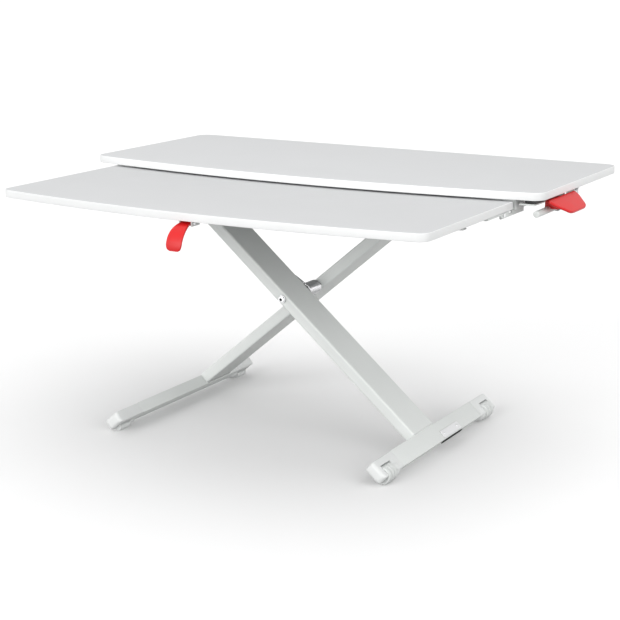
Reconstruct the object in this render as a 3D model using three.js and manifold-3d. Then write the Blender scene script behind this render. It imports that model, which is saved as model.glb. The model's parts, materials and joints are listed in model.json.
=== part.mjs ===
// Standing desk converter: two bowed boards on a crossed pair of steel arms.
// Millimetres, +Z up, X across the desk, -Y towards the person using it.
// Heights inside the platform are measured down from the top of the rear board.

import * as THREE from 'three';
import { mergeVertices } from 'three/addons/utils/BufferGeometryUtils.js';
import Module from 'manifold-3d';

const wasm = await Module();
wasm.setup();

// ---- clearances -------------------------------------------------------------
const TOUCH = 0.3;          // between pieces that are screwed or welded together
const RUNNING = 0.6;        // between pieces that turn or slide past each other
const SWEEP = 2.5;          // open air around a piece that swings

// ---- boards -----------------------------------------------------------------
const BOARD_THICK = 13;
const REAR_WIDTH = 900;
const REAR_DEPTH = 354;
const REAR_BOW = 35.5;      // how far the front edge swells forward at the centre
const REAR_RADIUS = 22;
const FRONT_WIDTH = 804;
const FRONT_DEPTH = 313;
const FRONT_BOW = 30;
const FRONT_RADIUS = 20;
const FRONT_REAR_RADIUS = 3;
const FRONT_REAR_Y = 2;     // the front board's rear edge lies just under the rear board
const BOARD_STEP = 16;      // front board's top below the rear board's top

// ---- arms -------------------------------------------------------------------
const ARM_ANGLE = THREE.MathUtils.degToRad(40);
const LOWER_REACH = 355;    // pivot to wheel axle, along the arm
const UPPER_REACH = 222.6;  // pivot to upper axle, along the arm
const ARM_THICK = 20.7;
const ARM_WALL = 2.5;
const ARM_CORNER = 3.5;
const ARM_A_WIDTH = 72;
const ARM_B_WIDTH = 80;
const ARM_A_FRONT = -55.7;  // front face of the front arm
const ARM_SPACING = 41.6;   // between the two arms, filled by the lift spring
const ARM_OVERRUN = 12;     // arm past its upper axle
const SPRING_RADIUS = 12.8;
const PIVOT_RADIUS = 5;
const PIVOT_RUNNING = 0.3;
const BUSH_WALL = 1.6;
const BOLT_HEAD_RADIUS = 7;
const BOLT_HEAD_HEIGHT = 4;

// ---- feet -------------------------------------------------------------------
const FOOT_LENGTH = 430;
const FOOT_CENTRE_Y = 8;
const FOOT_WIDTH = 34;
const FOOT_WALL = 3;
const FOOT_LIP = 8;         // height of the bar's outer edge above its bevel
const FOOT_BEVEL = 6;       // width of that bevel
const LEFT_BAR_DROP = 2;    // left bar under its arm's centre plane
const CAP_LENGTH = 65;
const CAP_PLUG = 22;        // how far a cap reaches into the bar
const SLOT_END = 12;        // from the cap's end to its wheel slot
const SLOT_WIDTH = 31;
const AXLE_FROM_SEAM = 25;   // wheel axle beyond the end of the arm
const AXLE_BELOW = 2;       // wheel axle under the arm's centre plane
const WHEEL_RADIUS = 15;
const WHEEL_PIN_RADIUS = 3;
const PAD_RADIUS = 16.5;
const ANCHOR_LENGTH = 64;
const ANCHOR_THICK = 1.5;
const ANCHOR_FROM_BAR_CENTRE = 35;

// ---- platform ---------------------------------------------------------------
const AXLE_DROP = 70;       // upper axles below the top of the rear board
const AXLE_RADIUS = 6;
const RAIL_WIDTH = 47;
const RAIL_HEIGHT = 17.5;
const RAIL_WALL = 2;
const RAIL_GAP = 5;         // open air behind the front board, for its tilt
const RAIL_REAR_Y = 252;
const RAIL_LENGTH = 804;
const BEAM_WIDTH = 60;
const BEAM_HEIGHT = 14;
const BRACKET_THICK = 4;
const EAR_RADIUS = 14;
const ROLLER_RADIUS = 8;
const ROLLER_WIDTH = 10;
const TRACK_WALL = 2.5;
const TRACK_DEPTH = 14;
const LOWEST_ANGLE = THREE.MathUtils.degToRad(5);
const HIGHEST_ANGLE = THREE.MathUtils.degToRad(45);

// ---- keyboard tilt ----------------------------------------------------------
const TILT_Y = -34;
const TILT_DROP = 33;       // tilt axis below the rear board's top
const TILT_LUG_RADIUS = 3.6;
const TILT_PIN_RADIUS = 2;
const TILT_PLATE = 3;
const TILT_ARM_REACH = 22;  // arm's plate behind the tilt axis
const TILT_ARM_LENGTH = 60; // and in front of it
const TILT_BRACKET_DEPTH = 7; // bracket's lowest edge below the tilt axis
const TILT_ARM_INSET = 0.5; // arm inside the front board's side
const TILT_RANGE = THREE.MathUtils.degToRad(10);

// ---- release paddle (right) -------------------------------------------------
const PADDLE_LENGTH = 116;
const PADDLE_REACH = 40;
const PADDLE_THICK = 5;
const PADDLE_DROOP = THREE.MathUtils.degToRad(29);
const PADDLE_Y = 34;
const PADDLE_TIP_FRONT = 18; // how far the tip is cut in at its front end
const PADDLE_TIP_REAR = 28;
const SADDLE_START = 28;    // saddle behind the paddle's front end
const SADDLE_LENGTH = 36;
const PADDLE_OVERHANG = 32; // past the rear board's side
const PADDLE_DROP = 15.4;   // top of the tongue's root below the rear board's top
const SHAFT_RADIUS = 5.5;
const SHAFT_INSET = 14;     // shaft axis inside the rear board's side
const SHAFT_DROP = 36.5;
const SHAFT_START_Y = 14;
const SHAFT_LENGTH = 172;
const LATCH_Y = 6;
const LATCH_THICK = 6;
const LATCH_PLATE = 2.5;
const LATCH_LENGTH = 46;
const CRANK_RADIUS = 14;
const CRANK_THICK = 5;
const ROD_RADIUS = 2.5;
const ROD_EYE = 7;          // thickness of the rod's slotted eye
const ROD_GAP = 1;
const HOUSING_BELOW = 8;    // housing under the rod's axis
const HOUSING_LENGTH = 55;
const ROD_ENTRY = 14;       // the bore's empty end, which the rod slides into
const CRANK_PIN_RADIUS = 2;

// ---- tilt lever (front centre) ----------------------------------------------
const LEVER_X = -1.5;
const LEVER_WIDTH = 29;
const LEVER_ROOT_WIDTH = 19;
const LEVER_THICK = 5;
const LEVER_PIVOT_INSET = 14; // pivot behind the front board's front edge
const LEVER_REACH = 38;
const LEVER_FALL = 38.5;
const LEVER_PIN_RADIUS = 2;
const LEVER_PIN_DROP = 4.5; // pivot under the front board

// ---- derived ----------------------------------------------------------------
const SIN = Math.sin(ARM_ANGLE);
const COS = Math.cos(ARM_ANGLE);
const HALF_ARM = ARM_THICK / 2;
const PIVOT_HEIGHT = WHEEL_RADIUS + LOWER_REACH * SIN + AXLE_BELOW * COS;
const TOP_HEIGHT = PIVOT_HEIGHT + UPPER_REACH * SIN + AXLE_DROP;
const ARM_A_REAR = ARM_A_FRONT + ARM_A_WIDTH;
const ARM_B_FRONT = ARM_A_REAR + ARM_SPACING;
const ARM_B_REAR = ARM_B_FRONT + ARM_B_WIDTH;
const ARM_FOOT = LOWER_REACH - AXLE_FROM_SEAM;
const BAR_OUT = ARM_FOOT + FOOT_WIDTH;
const FOOT_FRONT = FOOT_CENTRE_Y - FOOT_LENGTH / 2;
const FOOT_REAR = FOOT_CENTRE_Y + FOOT_LENGTH / 2;
const HINGE_X = -UPPER_REACH * COS;
const ROLLER_OUT_X = HINGE_X + 2 * UPPER_REACH * Math.cos(LOWEST_ANGLE);
const ROLLER_IN_X = HINGE_X + 2 * UPPER_REACH * Math.cos(HIGHEST_ANGLE);
const FRONT_BOTTOM = -BOARD_STEP - BOARD_THICK;
const RAIL_TOP = -BOARD_THICK - TOUCH;
const RAIL_BOTTOM = RAIL_TOP - RAIL_HEIGHT;
const BEAM_TOP = RAIL_BOTTOM - TOUCH;
const BEAM_BOTTOM = BEAM_TOP - BEAM_HEIGHT;
const RAIL_FRONT_Y = FRONT_REAR_Y + RAIL_GAP;
const FRONT_EDGE_Y = FRONT_REAR_Y - FRONT_DEPTH;
const SHAFT_X = REAR_WIDTH / 2 - SHAFT_INSET;
const TILT_Z = -TILT_DROP;

// ---- materials --------------------------------------------------------------
function finish(color, roughness, metalness) {
  return { color, roughness, metalness };
}
const LAMINATE = finish(0xdedede, 0.5, 0);
const POWDER = finish(0xd4d6d5, 0.55, 0.1);
const PLASTIC = finish(0xd2d4d3, 0.5, 0);
const WHEEL_PLASTIC = finish(0xcfd1d0, 0.45, 0);
const RED = finish(0xe12a2e, 0.3, 0);
const STEEL = finish(0xb9bcbe, 0.3, 1);
const SPRING_STEEL = finish(0xc4c4c2, 0.25, 1);
const RUBBER = finish(0x151515, 0.8, 0);
const NYLON = finish(0x2b2b2b, 0.5, 0);

// ---- solids -----------------------------------------------------------------
function toManifold(geometry) {
  const bare = geometry.clone();
  bare.deleteAttribute('normal');
  bare.deleteAttribute('uv');
  const merged = mergeVertices(bare, 1e-4);
  return new wasm.Manifold(new wasm.Mesh({
    numProp: 3,
    vertProperties: new Float32Array(merged.attributes.position.array),
    triVerts: new Uint32Array(merged.index.array),
  }));
}

function fromManifold(solid) {
  const mesh = solid.getMesh();
  const geometry = new THREE.BufferGeometry();
  geometry.setAttribute('position', new THREE.BufferAttribute(mesh.vertProperties, 3));
  geometry.setIndex(new THREE.BufferAttribute(mesh.triVerts, 1));
  geometry.computeVertexNormals();
  return geometry;
}

function cut(body, ...tools) {
  let solid = toManifold(body);
  for (const tool of tools) {
    solid = solid.subtract(toManifold(tool));
  }
  return fromManifold(solid);
}

function join(first, ...others) {
  let solid = toManifold(first);
  for (const other of others) {
    solid = solid.add(toManifold(other));
  }
  return fromManifold(solid);
}

function common(first, second) {
  return fromManifold(toManifold(first).intersect(toManifold(second)));
}

function box(x0, x1, y0, y1, z0, z1) {
  const geometry = new THREE.BoxGeometry(x1 - x0, y1 - y0, z1 - z0);
  return geometry.translate((x0 + x1) / 2, (y0 + y1) / 2, (z0 + z1) / 2);
}

function rodY(radius, y0, y1, x = 0, z = 0, sides = 24) {
  const geometry = new THREE.CylinderGeometry(radius, radius, y1 - y0, sides);
  return geometry.translate(x, (y0 + y1) / 2, z);
}

function rodX(radius, x0, x1, y = 0, z = 0, sides = 24) {
  const geometry = new THREE.CylinderGeometry(radius, radius, x1 - x0, sides);
  return geometry.rotateZ(Math.PI / 2).translate((x0 + x1) / 2, y, z);
}

function ringY(outer, inner, y0, y1, x = 0, z = 0, sides = 32) {
  const profile = [
    new THREE.Vector2(inner, y0),
    new THREE.Vector2(outer, y0),
    new THREE.Vector2(outer, y1),
    new THREE.Vector2(inner, y1),
    new THREE.Vector2(inner, y0),
  ];
  return new THREE.LatheGeometry(profile, sides).translate(x, 0, z);
}

// A shape drawn in X and Z, pushed along Y.
function extrudeAlongY(shape, y0, y1, curveSegments = 6) {
  const options = { depth: y1 - y0, bevelEnabled: false, curveSegments };
  return new THREE.ExtrudeGeometry(shape, options).rotateX(Math.PI / 2).translate(0, y1, 0);
}

// A shape drawn in Y and Z, pushed along X.
function extrudeAlongX(shape, x0, x1, curveSegments = 6) {
  const options = { depth: x1 - x0, bevelEnabled: false, curveSegments };
  const turn = new THREE.Matrix4().makeBasis(
    new THREE.Vector3(0, 1, 0),
    new THREE.Vector3(0, 0, 1),
    new THREE.Vector3(1, 0, 0),
  );
  return new THREE.ExtrudeGeometry(shape, options).applyMatrix4(turn).translate(x0, 0, 0);
}

// A shape drawn in X and Y, pushed up along Z.
function extrudeUp(shape, z0, z1, curveSegments = 6) {
  const options = { depth: z1 - z0, bevelEnabled: false, curveSegments };
  return new THREE.ExtrudeGeometry(shape, options).translate(0, 0, z0);
}

function roundedRectangle(width, height, radius, Kind = THREE.Shape) {
  const outline = new Kind();
  const x = width / 2 - radius;
  const y = height / 2 - radius;
  outline.absarc(x, y, radius, 0, Math.PI / 2);
  outline.absarc(-x, y, radius, Math.PI / 2, Math.PI);
  outline.absarc(-x, -y, radius, Math.PI, Math.PI * 1.5);
  outline.absarc(x, -y, radius, Math.PI * 1.5, Math.PI * 2);
  outline.closePath();
  return outline;
}

function tubeSection(width, height, wall, radius) {
  const section = roundedRectangle(width, height, radius);
  section.holes.push(roundedRectangle(width - 2 * wall, height - 2 * wall, radius * 0.5, THREE.Path));
  return section;
}

function polygon(points, Kind = THREE.Shape) {
  const outline = new Kind();
  outline.setFromPoints(points.map(([x, y]) => new THREE.Vector2(x, y)));
  outline.closePath();
  return outline;
}

function add(group, name, geometry, look) {
  const material = new THREE.MeshStandardMaterial(look);
  const mesh = new THREE.Mesh(geometry, material);
  mesh.name = name;
  group.add(mesh);
  return mesh;
}

// ---- boards -----------------------------------------------------------------
// Both boards swell forward in a shallow curve. The front board lies lower, and
// its straight rear edge ends under the rear board with a thin gap above it.
function rearBoard() {
  const half = REAR_WIDTH / 2;
  const r = REAR_RADIUS;
  const outline = new THREE.Shape();
  outline.moveTo(-half + r, 0);
  outline.quadraticCurveTo(0, -2 * REAR_BOW, half - r, 0);
  outline.absarc(half - r, r, r, -Math.PI / 2, 0);
  outline.absarc(half - r, REAR_DEPTH - r, r, 0, Math.PI / 2);
  outline.absarc(-half + r, REAR_DEPTH - r, r, Math.PI / 2, Math.PI);
  outline.absarc(-half + r, r, r, Math.PI, Math.PI * 1.5);
  outline.closePath();
  return extrudeUp(outline, -BOARD_THICK, 0, 14);
}

function frontBoard() {
  const half = FRONT_WIDTH / 2;
  const r = FRONT_RADIUS;
  const small = FRONT_REAR_RADIUS;
  const front = FRONT_REAR_Y - FRONT_DEPTH;
  const outline = new THREE.Shape();
  outline.moveTo(-half + r, front);
  outline.quadraticCurveTo(0, front - 2 * FRONT_BOW, half - r, front);
  outline.absarc(half - r, front + r, r, -Math.PI / 2, 0);
  outline.absarc(half - small, FRONT_REAR_Y - small, small, 0, Math.PI / 2);
  outline.absarc(-half + small, FRONT_REAR_Y - small, small, Math.PI / 2, Math.PI);
  outline.absarc(-half + r, front + r, r, Math.PI, Math.PI * 1.5);
  outline.closePath();
  return extrudeUp(outline, FRONT_BOTTOM, -BOARD_STEP, 14);
}

// ---- arms -------------------------------------------------------------------
// Along an arm, X runs from the pivot (0) out to the foot and Z is its thickness.
function armTube(y0, y1, footSide) {
  const section = tubeSection(y1 - y0, ARM_THICK, ARM_WALL, ARM_CORNER);
  const upper = -UPPER_REACH - ARM_OVERRUN;
  const lower = ARM_FOOT - TOUCH;
  const tube = extrudeAlongX(section, upper, lower, 4).translate(0, (y0 + y1) / 2, 0);
  const bushRadius = PIVOT_RADIUS + PIVOT_RUNNING + BUSH_WALL + TOUCH;
  const pivotHole = rodY(bushRadius, y0 - 1, y1 + 1);
  const axleHole = rodY(AXLE_RADIUS + TOUCH, y0 - 1, y1 + 1, -UPPER_REACH);
  const arm = cut(tube, pivotHole, axleHole);
  return footSide > 0 ? arm : arm.rotateZ(Math.PI).translate(0, y0 + y1, 0);
}

function armEndPlug(width, y, footSide) {
  const start = -UPPER_REACH - ARM_OVERRUN;
  const inner = tubeSolid(width - 2 * ARM_WALL - 2 * TOUCH, ARM_THICK - 2 * ARM_WALL - 2 * TOUCH);
  const plug = extrudeAlongX(inner, start + TOUCH, -UPPER_REACH - AXLE_RADIUS - 2 * TOUCH, 3);
  const flange = extrudeAlongX(
    tubeSolid(width - 1, ARM_THICK - 1),
    start - 2 - TOUCH,
    start - TOUCH,
    3,
  );
  const neck = extrudeAlongX(inner, start - 1, start + 2, 3);
  const piece = join(plug, flange, neck).translate(0, y, 0);
  return footSide > 0 ? piece : piece.rotateZ(Math.PI).translate(0, 2 * y, 0);
}

function tubeSolid(width, height) {
  return roundedRectangle(width, height, 1.5);
}

function pivotBush(y0, y1) {
  const inner = PIVOT_RADIUS + PIVOT_RUNNING;
  return ringY(inner + BUSH_WALL, inner, y0 + TOUCH, y1 - TOUCH);
}

// The pivot shaft runs through both arms; a socket-head bolt closes its front
// end over a washer and a nut holds the rear end.
function pivotShaft() {
  return rodY(PIVOT_RADIUS, ARM_A_FRONT - TOUCH, ARM_B_REAR + TOUCH, 0, 0, 32);
}

function pivotBolt() {
  const face = ARM_A_FRONT - 2 * TOUCH - 1.5;
  const head = rodY(BOLT_HEAD_RADIUS - 1, face - BOLT_HEAD_HEIGHT, face - TOUCH, 0, 0, 32);
  const socket = rodY(2.5, face - BOLT_HEAD_HEIGHT - 1, face - 1.5, 0, 0, 6);
  return cut(head, socket);
}

function washer(yFace, direction, radius) {
  const near = yFace + direction * 2 * TOUCH;
  const far = near + direction * 1.5;
  return rodY(radius, Math.min(near, far), Math.max(near, far), 0, 0, 32);
}

function pivotNut() {
  const near = ARM_B_REAR + 2 * TOUCH + 1.5 + TOUCH;
  return rodY(PIVOT_RADIUS + 4, near, near + 8, 0, 0, 6);
}

// The lift spring is a close-wound torsion spring on the pivot; one leg lies
// on the front arm's top face.
function liftSpring() {
  const y0 = ARM_A_REAR + RUNNING;
  const y1 = ARM_B_FRONT - RUNNING;
  const coil = ringY(SPRING_RADIUS, PIVOT_RADIUS + RUNNING, y0, y1, 0, 0, 32);
  return coil;
}

// ---- feet -------------------------------------------------------------------
// Section of a foot bar across its length: flat on top, its outer lower corner
// bevelled so that it stays clear of the desk at every angle of the arm.
function barProfile(inset, bevelled, Kind = THREE.Shape) {
  const inner = ARM_FOOT + inset;
  const outer = BAR_OUT - inset;
  const top = HALF_ARM - inset;
  const bottom = -HALF_ARM + inset;
  if (!bevelled) {
    return polygon([[inner, bottom], [outer, bottom], [outer, top], [inner, top]], Kind);
  }
  const lip = HALF_ARM - FOOT_LIP + inset * 0.4;
  const start = BAR_OUT - FOOT_BEVEL - inset * 0.4;
  return polygon([[inner, bottom], [start, bottom], [outer, lip], [outer, top], [inner, top]], Kind);
}

function footBar() {
  const profile = barProfile(0, true);
  profile.holes.push(barProfile(FOOT_WALL, true, THREE.Path));
  return extrudeAlongY(profile, FOOT_FRONT + CAP_LENGTH, FOOT_REAR - CAP_LENGTH);
}

// A cap closes one end of a foot bar and carries a wheel or a pad in a slot.
// It is built for the front end; the rear one is the same piece mirrored.
function footCap(rear, axleRadius, axleBelow) {
  const end = FOOT_FRONT;
  const seam = FOOT_FRONT + CAP_LENGTH - TOUCH;
  const slotStart = end + SLOT_END;
  const slotStop = slotStart + SLOT_WIDTH;
  const clear = axleRadius + RUNNING;
  const body = extrudeAlongY(barProfile(0, false), end, seam);
  const plugHeight = barProfile(FOOT_WALL + TOUCH + 0.2, true);
  const plug = extrudeAlongY(plugHeight, seam - 2, seam + CAP_PLUG);
  const slot = rodY(clear, slotStart, slotStop, LOWER_REACH, -axleBelow, 40);
  const pinHole = rodY(WHEEL_PIN_RADIUS + TOUCH, end + 4, slotStop + 12, LOWER_REACH, -axleBelow, 16);
  const piece = cut(join(body, plug), slot, pinHole);
  if (!rear) {
    return piece;
  }
  const turned = piece.scale(1, -1, 1).translate(0, 2 * FOOT_CENTRE_Y, 0);
  return flipFaces(turned);
}

function flipFaces(geometry) {
  const index = geometry.index;
  for (let i = 0; i < index.count; i += 3) {
    const second = index.getX(i + 1);
    index.setX(i + 1, index.getX(i + 2));
    index.setX(i + 2, second);
  }
  geometry.computeVertexNormals();
  return geometry;
}

function slotMiddle(rear) {
  const middle = SLOT_END + SLOT_WIDTH / 2;
  return rear ? FOOT_REAR - middle : FOOT_FRONT + middle;
}

function wheelPin(rear) {
  const y = slotMiddle(rear);
  const half = SLOT_WIDTH / 2 + 6;
  return rodY(WHEEL_PIN_RADIUS, y - half, y + half, LOWER_REACH, -AXLE_BELOW, 16);
}

// A wheel has three treads parted by two grooves.
function wheel(rear) {
  const y = slotMiddle(rear);
  const half = SLOT_WIDTH / 2 - 1;
  const bore = WHEEL_PIN_RADIUS + TOUCH;
  const tread = WHEEL_RADIUS;
  const groove = WHEEL_RADIUS - 2;
  const third = (2 * half) / 3;
  const profile = [[bore, -half], [tread - 1, -half], [tread, -half + 1]];
  for (const edge of [-half + third, half - third]) {
    profile.push([tread, edge - 1], [groove, edge - 0.6], [groove, edge + 0.6], [tread, edge + 1]);
  }
  profile.push([tread, half - 1], [tread - 1, half], [bore, half], [bore, -half]);
  const points = profile.map(([r, h]) => new THREE.Vector2(r, h));
  return new THREE.LatheGeometry(points, 40).translate(LOWER_REACH, y, -AXLE_BELOW);
}

// A pad turns on the same kind of pin, with a flat sole that stays on the desk.
function pad(rear) {
  const y = slotMiddle(rear);
  const half = SLOT_WIDTH / 2 - 1;
  const disc = rodY(PAD_RADIUS, y - half, y + half, 0, 0, 40);
  const sole = box(-40, 40, y - half - 1, y + half + 1, -60, -WHEEL_RADIUS);
  const hole = rodY(WHEEL_PIN_RADIUS + TOUCH, y - half - 1, y + half + 1, 0, 0, 16);
  return cut(disc, sole, hole);
}

// The anchor plate is screwed to the right bar over a rubber strip.
function anchorPlate() {
  const y0 = FOOT_CENTRE_Y + ANCHOR_FROM_BAR_CENTRE - ANCHOR_LENGTH / 2;
  const z0 = HALF_ARM + TOUCH;
  return box(BAR_OUT - 16, BAR_OUT - 2, y0, y0 + ANCHOR_LENGTH, z0, z0 + ANCHOR_THICK);
}

function anchorPad() {
  const y1 = FOOT_CENTRE_Y + ANCHOR_FROM_BAR_CENTRE + ANCHOR_LENGTH / 2;
  const low = HALF_ARM - FOOT_LIP + 1;
  return box(BAR_OUT + TOUCH, BAR_OUT + 2, y1 - ANCHOR_LENGTH - 10, y1, low, HALF_ARM);
}

function footRight(group) {
  add(group, 'foot_bar_right', footBar(), POWDER);
  for (const [end, rear] of [['front', false], ['rear', true]]) {
    add(group, `foot_cap_right_${end}`, footCap(rear, WHEEL_RADIUS, AXLE_BELOW), PLASTIC);
    add(group, `wheel_pin_${end}`, wheelPin(rear), STEEL);
    add(group, `wheel_${end}`, wheel(rear), WHEEL_PLASTIC);
  }
}

// The left foot is the right one turned half round, so its ends swap over.
function footLeft(group) {
  const holder = new THREE.Group();
  holder.rotation.z = Math.PI;
  holder.position.set(0, 2 * FOOT_CENTRE_Y, -LEFT_BAR_DROP);
  group.add(holder);
  add(holder, 'foot_bar_left', footBar(), POWDER);
  for (const [end, rear] of [['front', true], ['rear', false]]) {
    const cap = footCap(rear, PAD_RADIUS, AXLE_BELOW - LEFT_BAR_DROP);
    add(holder, `foot_cap_left_${end}`, cap, PLASTIC);
  }
}

// ---- platform ---------------------------------------------------------------
function rail(y) {
  const section = tubeSection(RAIL_WIDTH, RAIL_HEIGHT, RAIL_WALL, 2);
  const middle = RAIL_TOP - RAIL_HEIGHT / 2;
  const half = RAIL_LENGTH / 2;
  return extrudeAlongX(section, -half, half, 3).translate(0, y + RAIL_WIDTH / 2, middle);
}

function beam(x) {
  const section = tubeSection(BEAM_WIDTH, BEAM_HEIGHT, RAIL_WALL, 2);
  const tube = extrudeAlongY(section, RAIL_FRONT_Y, RAIL_REAR_Y + RAIL_WIDTH, 3);
  return tube.translate(x, 0, BEAM_TOP - BEAM_HEIGHT / 2);
}

// The hinge bracket hangs under the left beam and holds the front arm's axle
// between two ears.
function hingeBracket() {
  const top = BEAM_BOTTOM - TOUCH;
  const frontEar = ARM_A_FRONT - SWEEP - BRACKET_THICK;
  const rearEar = ARM_A_REAR + SWEEP;
  const half = BEAM_WIDTH / 2;
  const plate = box(-half, half, frontEar, RAIL_FRONT_Y + RAIL_WIDTH, top - BRACKET_THICK, top);
  const ears = [frontEar, rearEar].map((y) => ear(y, top, half));
  const axle = rodY(AXLE_RADIUS + TOUCH, frontEar - 1, rearEar + BRACKET_THICK + 1, 0, -AXLE_DROP);
  return cut(join(plate, ...ears), axle).translate(HINGE_X, 0, 0);
}

function ear(y, top, half) {
  const outline = new THREE.Shape();
  outline.moveTo(half, top - 1);
  outline.lineTo(-half, top - 1);
  outline.lineTo(-EAR_RADIUS, -AXLE_DROP);
  outline.absarc(0, -AXLE_DROP, EAR_RADIUS, Math.PI, Math.PI * 2);
  outline.closePath();
  return extrudeAlongY(outline, y, y + BRACKET_THICK, 10);
}

function hingeAxle() {
  const y0 = ARM_A_FRONT - SWEEP - BRACKET_THICK - 2;
  const y1 = ARM_A_REAR + SWEEP + BRACKET_THICK + 2;
  return rodY(AXLE_RADIUS, y0, y1, HINGE_X, -AXLE_DROP);
}

function rollerAxle() {
  const reach = RUNNING + ROLLER_WIDTH + RUNNING + 1;
  return rodY(AXLE_RADIUS, ARM_B_FRONT - reach, ARM_B_REAR + reach, UPPER_REACH, 0);
}

function roller(rear) {
  const y0 = rear ? ARM_B_REAR + RUNNING : ARM_B_FRONT - RUNNING - ROLLER_WIDTH;
  return ringY(ROLLER_RADIUS, AXLE_RADIUS + TOUCH / 2, y0, y0 + ROLLER_WIDTH, UPPER_REACH, 0, 32);
}

// Each track is a channel, open towards the rear arm, that a roller runs in.
function track(rear) {
  const low = -AXLE_DROP - ROLLER_RADIUS - RUNNING;
  const high = -AXLE_DROP + ROLLER_RADIUS + RUNNING;
  const bottom = low - TRACK_WALL;
  const top = BEAM_BOTTOM - TOUCH;
  const mouth = RUNNING * 0.5;
  const web = TRACK_DEPTH + TRACK_WALL;
  const outline = polygon([
    [mouth, bottom],
    [web, bottom],
    [web, top],
    [mouth, top],
    [mouth, top - TRACK_WALL],
    [TRACK_DEPTH, top - TRACK_WALL],
    [TRACK_DEPTH, high + TRACK_WALL],
    [mouth, high + TRACK_WALL],
    [mouth, high],
    [TRACK_DEPTH, high],
    [TRACK_DEPTH, low],
    [mouth, low],
  ]);
  const x0 = ROLLER_IN_X - ROLLER_RADIUS - 14;
  const x1 = ROLLER_OUT_X + ROLLER_RADIUS + 14;
  const channel = extrudeAlongX(outline, x0, x1);
  if (rear) {
    return channel.translate(0, ARM_B_REAR, 0);
  }
  return flipFaces(mergeVertices(channel.scale(1, -1, 1).translate(0, ARM_B_FRONT, 0)));
}

// ---- keyboard tilt ----------------------------------------------------------
// The arm is an angle under the front board: a flange to screw it on and an
// upright plate with the tilt hole.
function tiltArm(side) {
  const outer = FRONT_WIDTH / 2 - TILT_ARM_INSET;
  const inner = outer - TILT_PLATE;
  const front = TILT_Y - TILT_ARM_LENGTH;
  const rear = TILT_Y + TILT_ARM_REACH;
  const top = FRONT_BOTTOM - TOUCH;
  const low = TILT_Z - TILT_LUG_RADIUS - 1;
  const upright = new THREE.Shape();
  upright.moveTo(rear, top);
  upright.lineTo(front, top);
  upright.lineTo(front, top - TILT_PLATE);
  upright.lineTo(TILT_Y - 14, top - TILT_PLATE);
  upright.quadraticCurveTo(TILT_Y - 8, low, TILT_Y, low);
  upright.lineTo(TILT_Y + 8, low);
  upright.quadraticCurveTo(rear, low, rear, top);
  const plate = extrudeAlongX(upright, inner, outer, 8);
  const flange = box(inner - 22, inner + 1, front, TILT_Y - 10, top - TILT_PLATE, top);
  const hole = rodX(TILT_PIN_RADIUS + TOUCH, inner - 1, outer + 1, TILT_Y, TILT_Z, 16);
  const piece = cut(join(plate, flange), hole);
  return side > 0 ? piece : flipFaces(piece.scale(-1, 1, 1));
}

// The bracket is screwed under the front rail. It reaches forward below the
// path of the board's rear edge and up to the tilt axis.
function tiltBracket(side) {
  const outer = FRONT_WIDTH / 2 - TILT_ARM_INSET - TILT_PLATE - RUNNING;
  const inner = outer - TILT_PLATE;
  const r = TILT_LUG_RADIUS;
  const top = RAIL_BOTTOM - TOUCH;
  const low = TILT_Z - TILT_BRACKET_DEPTH;
  const rear = RAIL_FRONT_Y + RAIL_WIDTH;
  const drop = (FRONT_REAR_Y - TILT_Y) * Math.tan(TILT_RANGE);
  const pass = FRONT_BOTTOM - drop - RUNNING;
  const upright = new THREE.Shape();
  upright.moveTo(rear, top);
  upright.lineTo(RAIL_FRONT_Y + 1, top);
  upright.lineTo(RAIL_FRONT_Y - 1, pass);
  upright.lineTo(TILT_Y + r + 1, TILT_Z - 1);
  upright.lineTo(TILT_Y + r, TILT_Z);
  upright.absarc(TILT_Y, TILT_Z, r, 0, Math.PI);
  upright.lineTo(TILT_Y - r, low + 2);
  upright.lineTo(TILT_Y - r + 2, low);
  upright.lineTo(rear, low);
  upright.closePath();
  const plate = extrudeAlongX(upright, inner, outer, 8);
  const flange = box(inner - 22, inner + 1, RAIL_FRONT_Y + 4, rear, top - TILT_PLATE, top);
  const hole = rodX(TILT_PIN_RADIUS + TOUCH, inner - 1, outer + 1, TILT_Y, TILT_Z, 16);
  const piece = cut(join(plate, flange), hole);
  return side > 0 ? piece : flipFaces(piece.scale(-1, 1, 1));
}

function tiltPin(side) {
  const head = FRONT_WIDTH / 2 - TILT_ARM_INSET + TOUCH;
  const reach = 2 * TILT_PLATE + RUNNING + 3;
  const pin = rodX(TILT_PIN_RADIUS, head - reach, head + 1, TILT_Y, TILT_Z, 16);
  const cap = rodX(TILT_PIN_RADIUS + 1.2, head, head + 1.2, TILT_Y, TILT_Z, 16);
  const piece = join(pin, cap);
  return side > 0 ? piece : flipFaces(piece.scale(-1, 1, 1));
}

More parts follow.
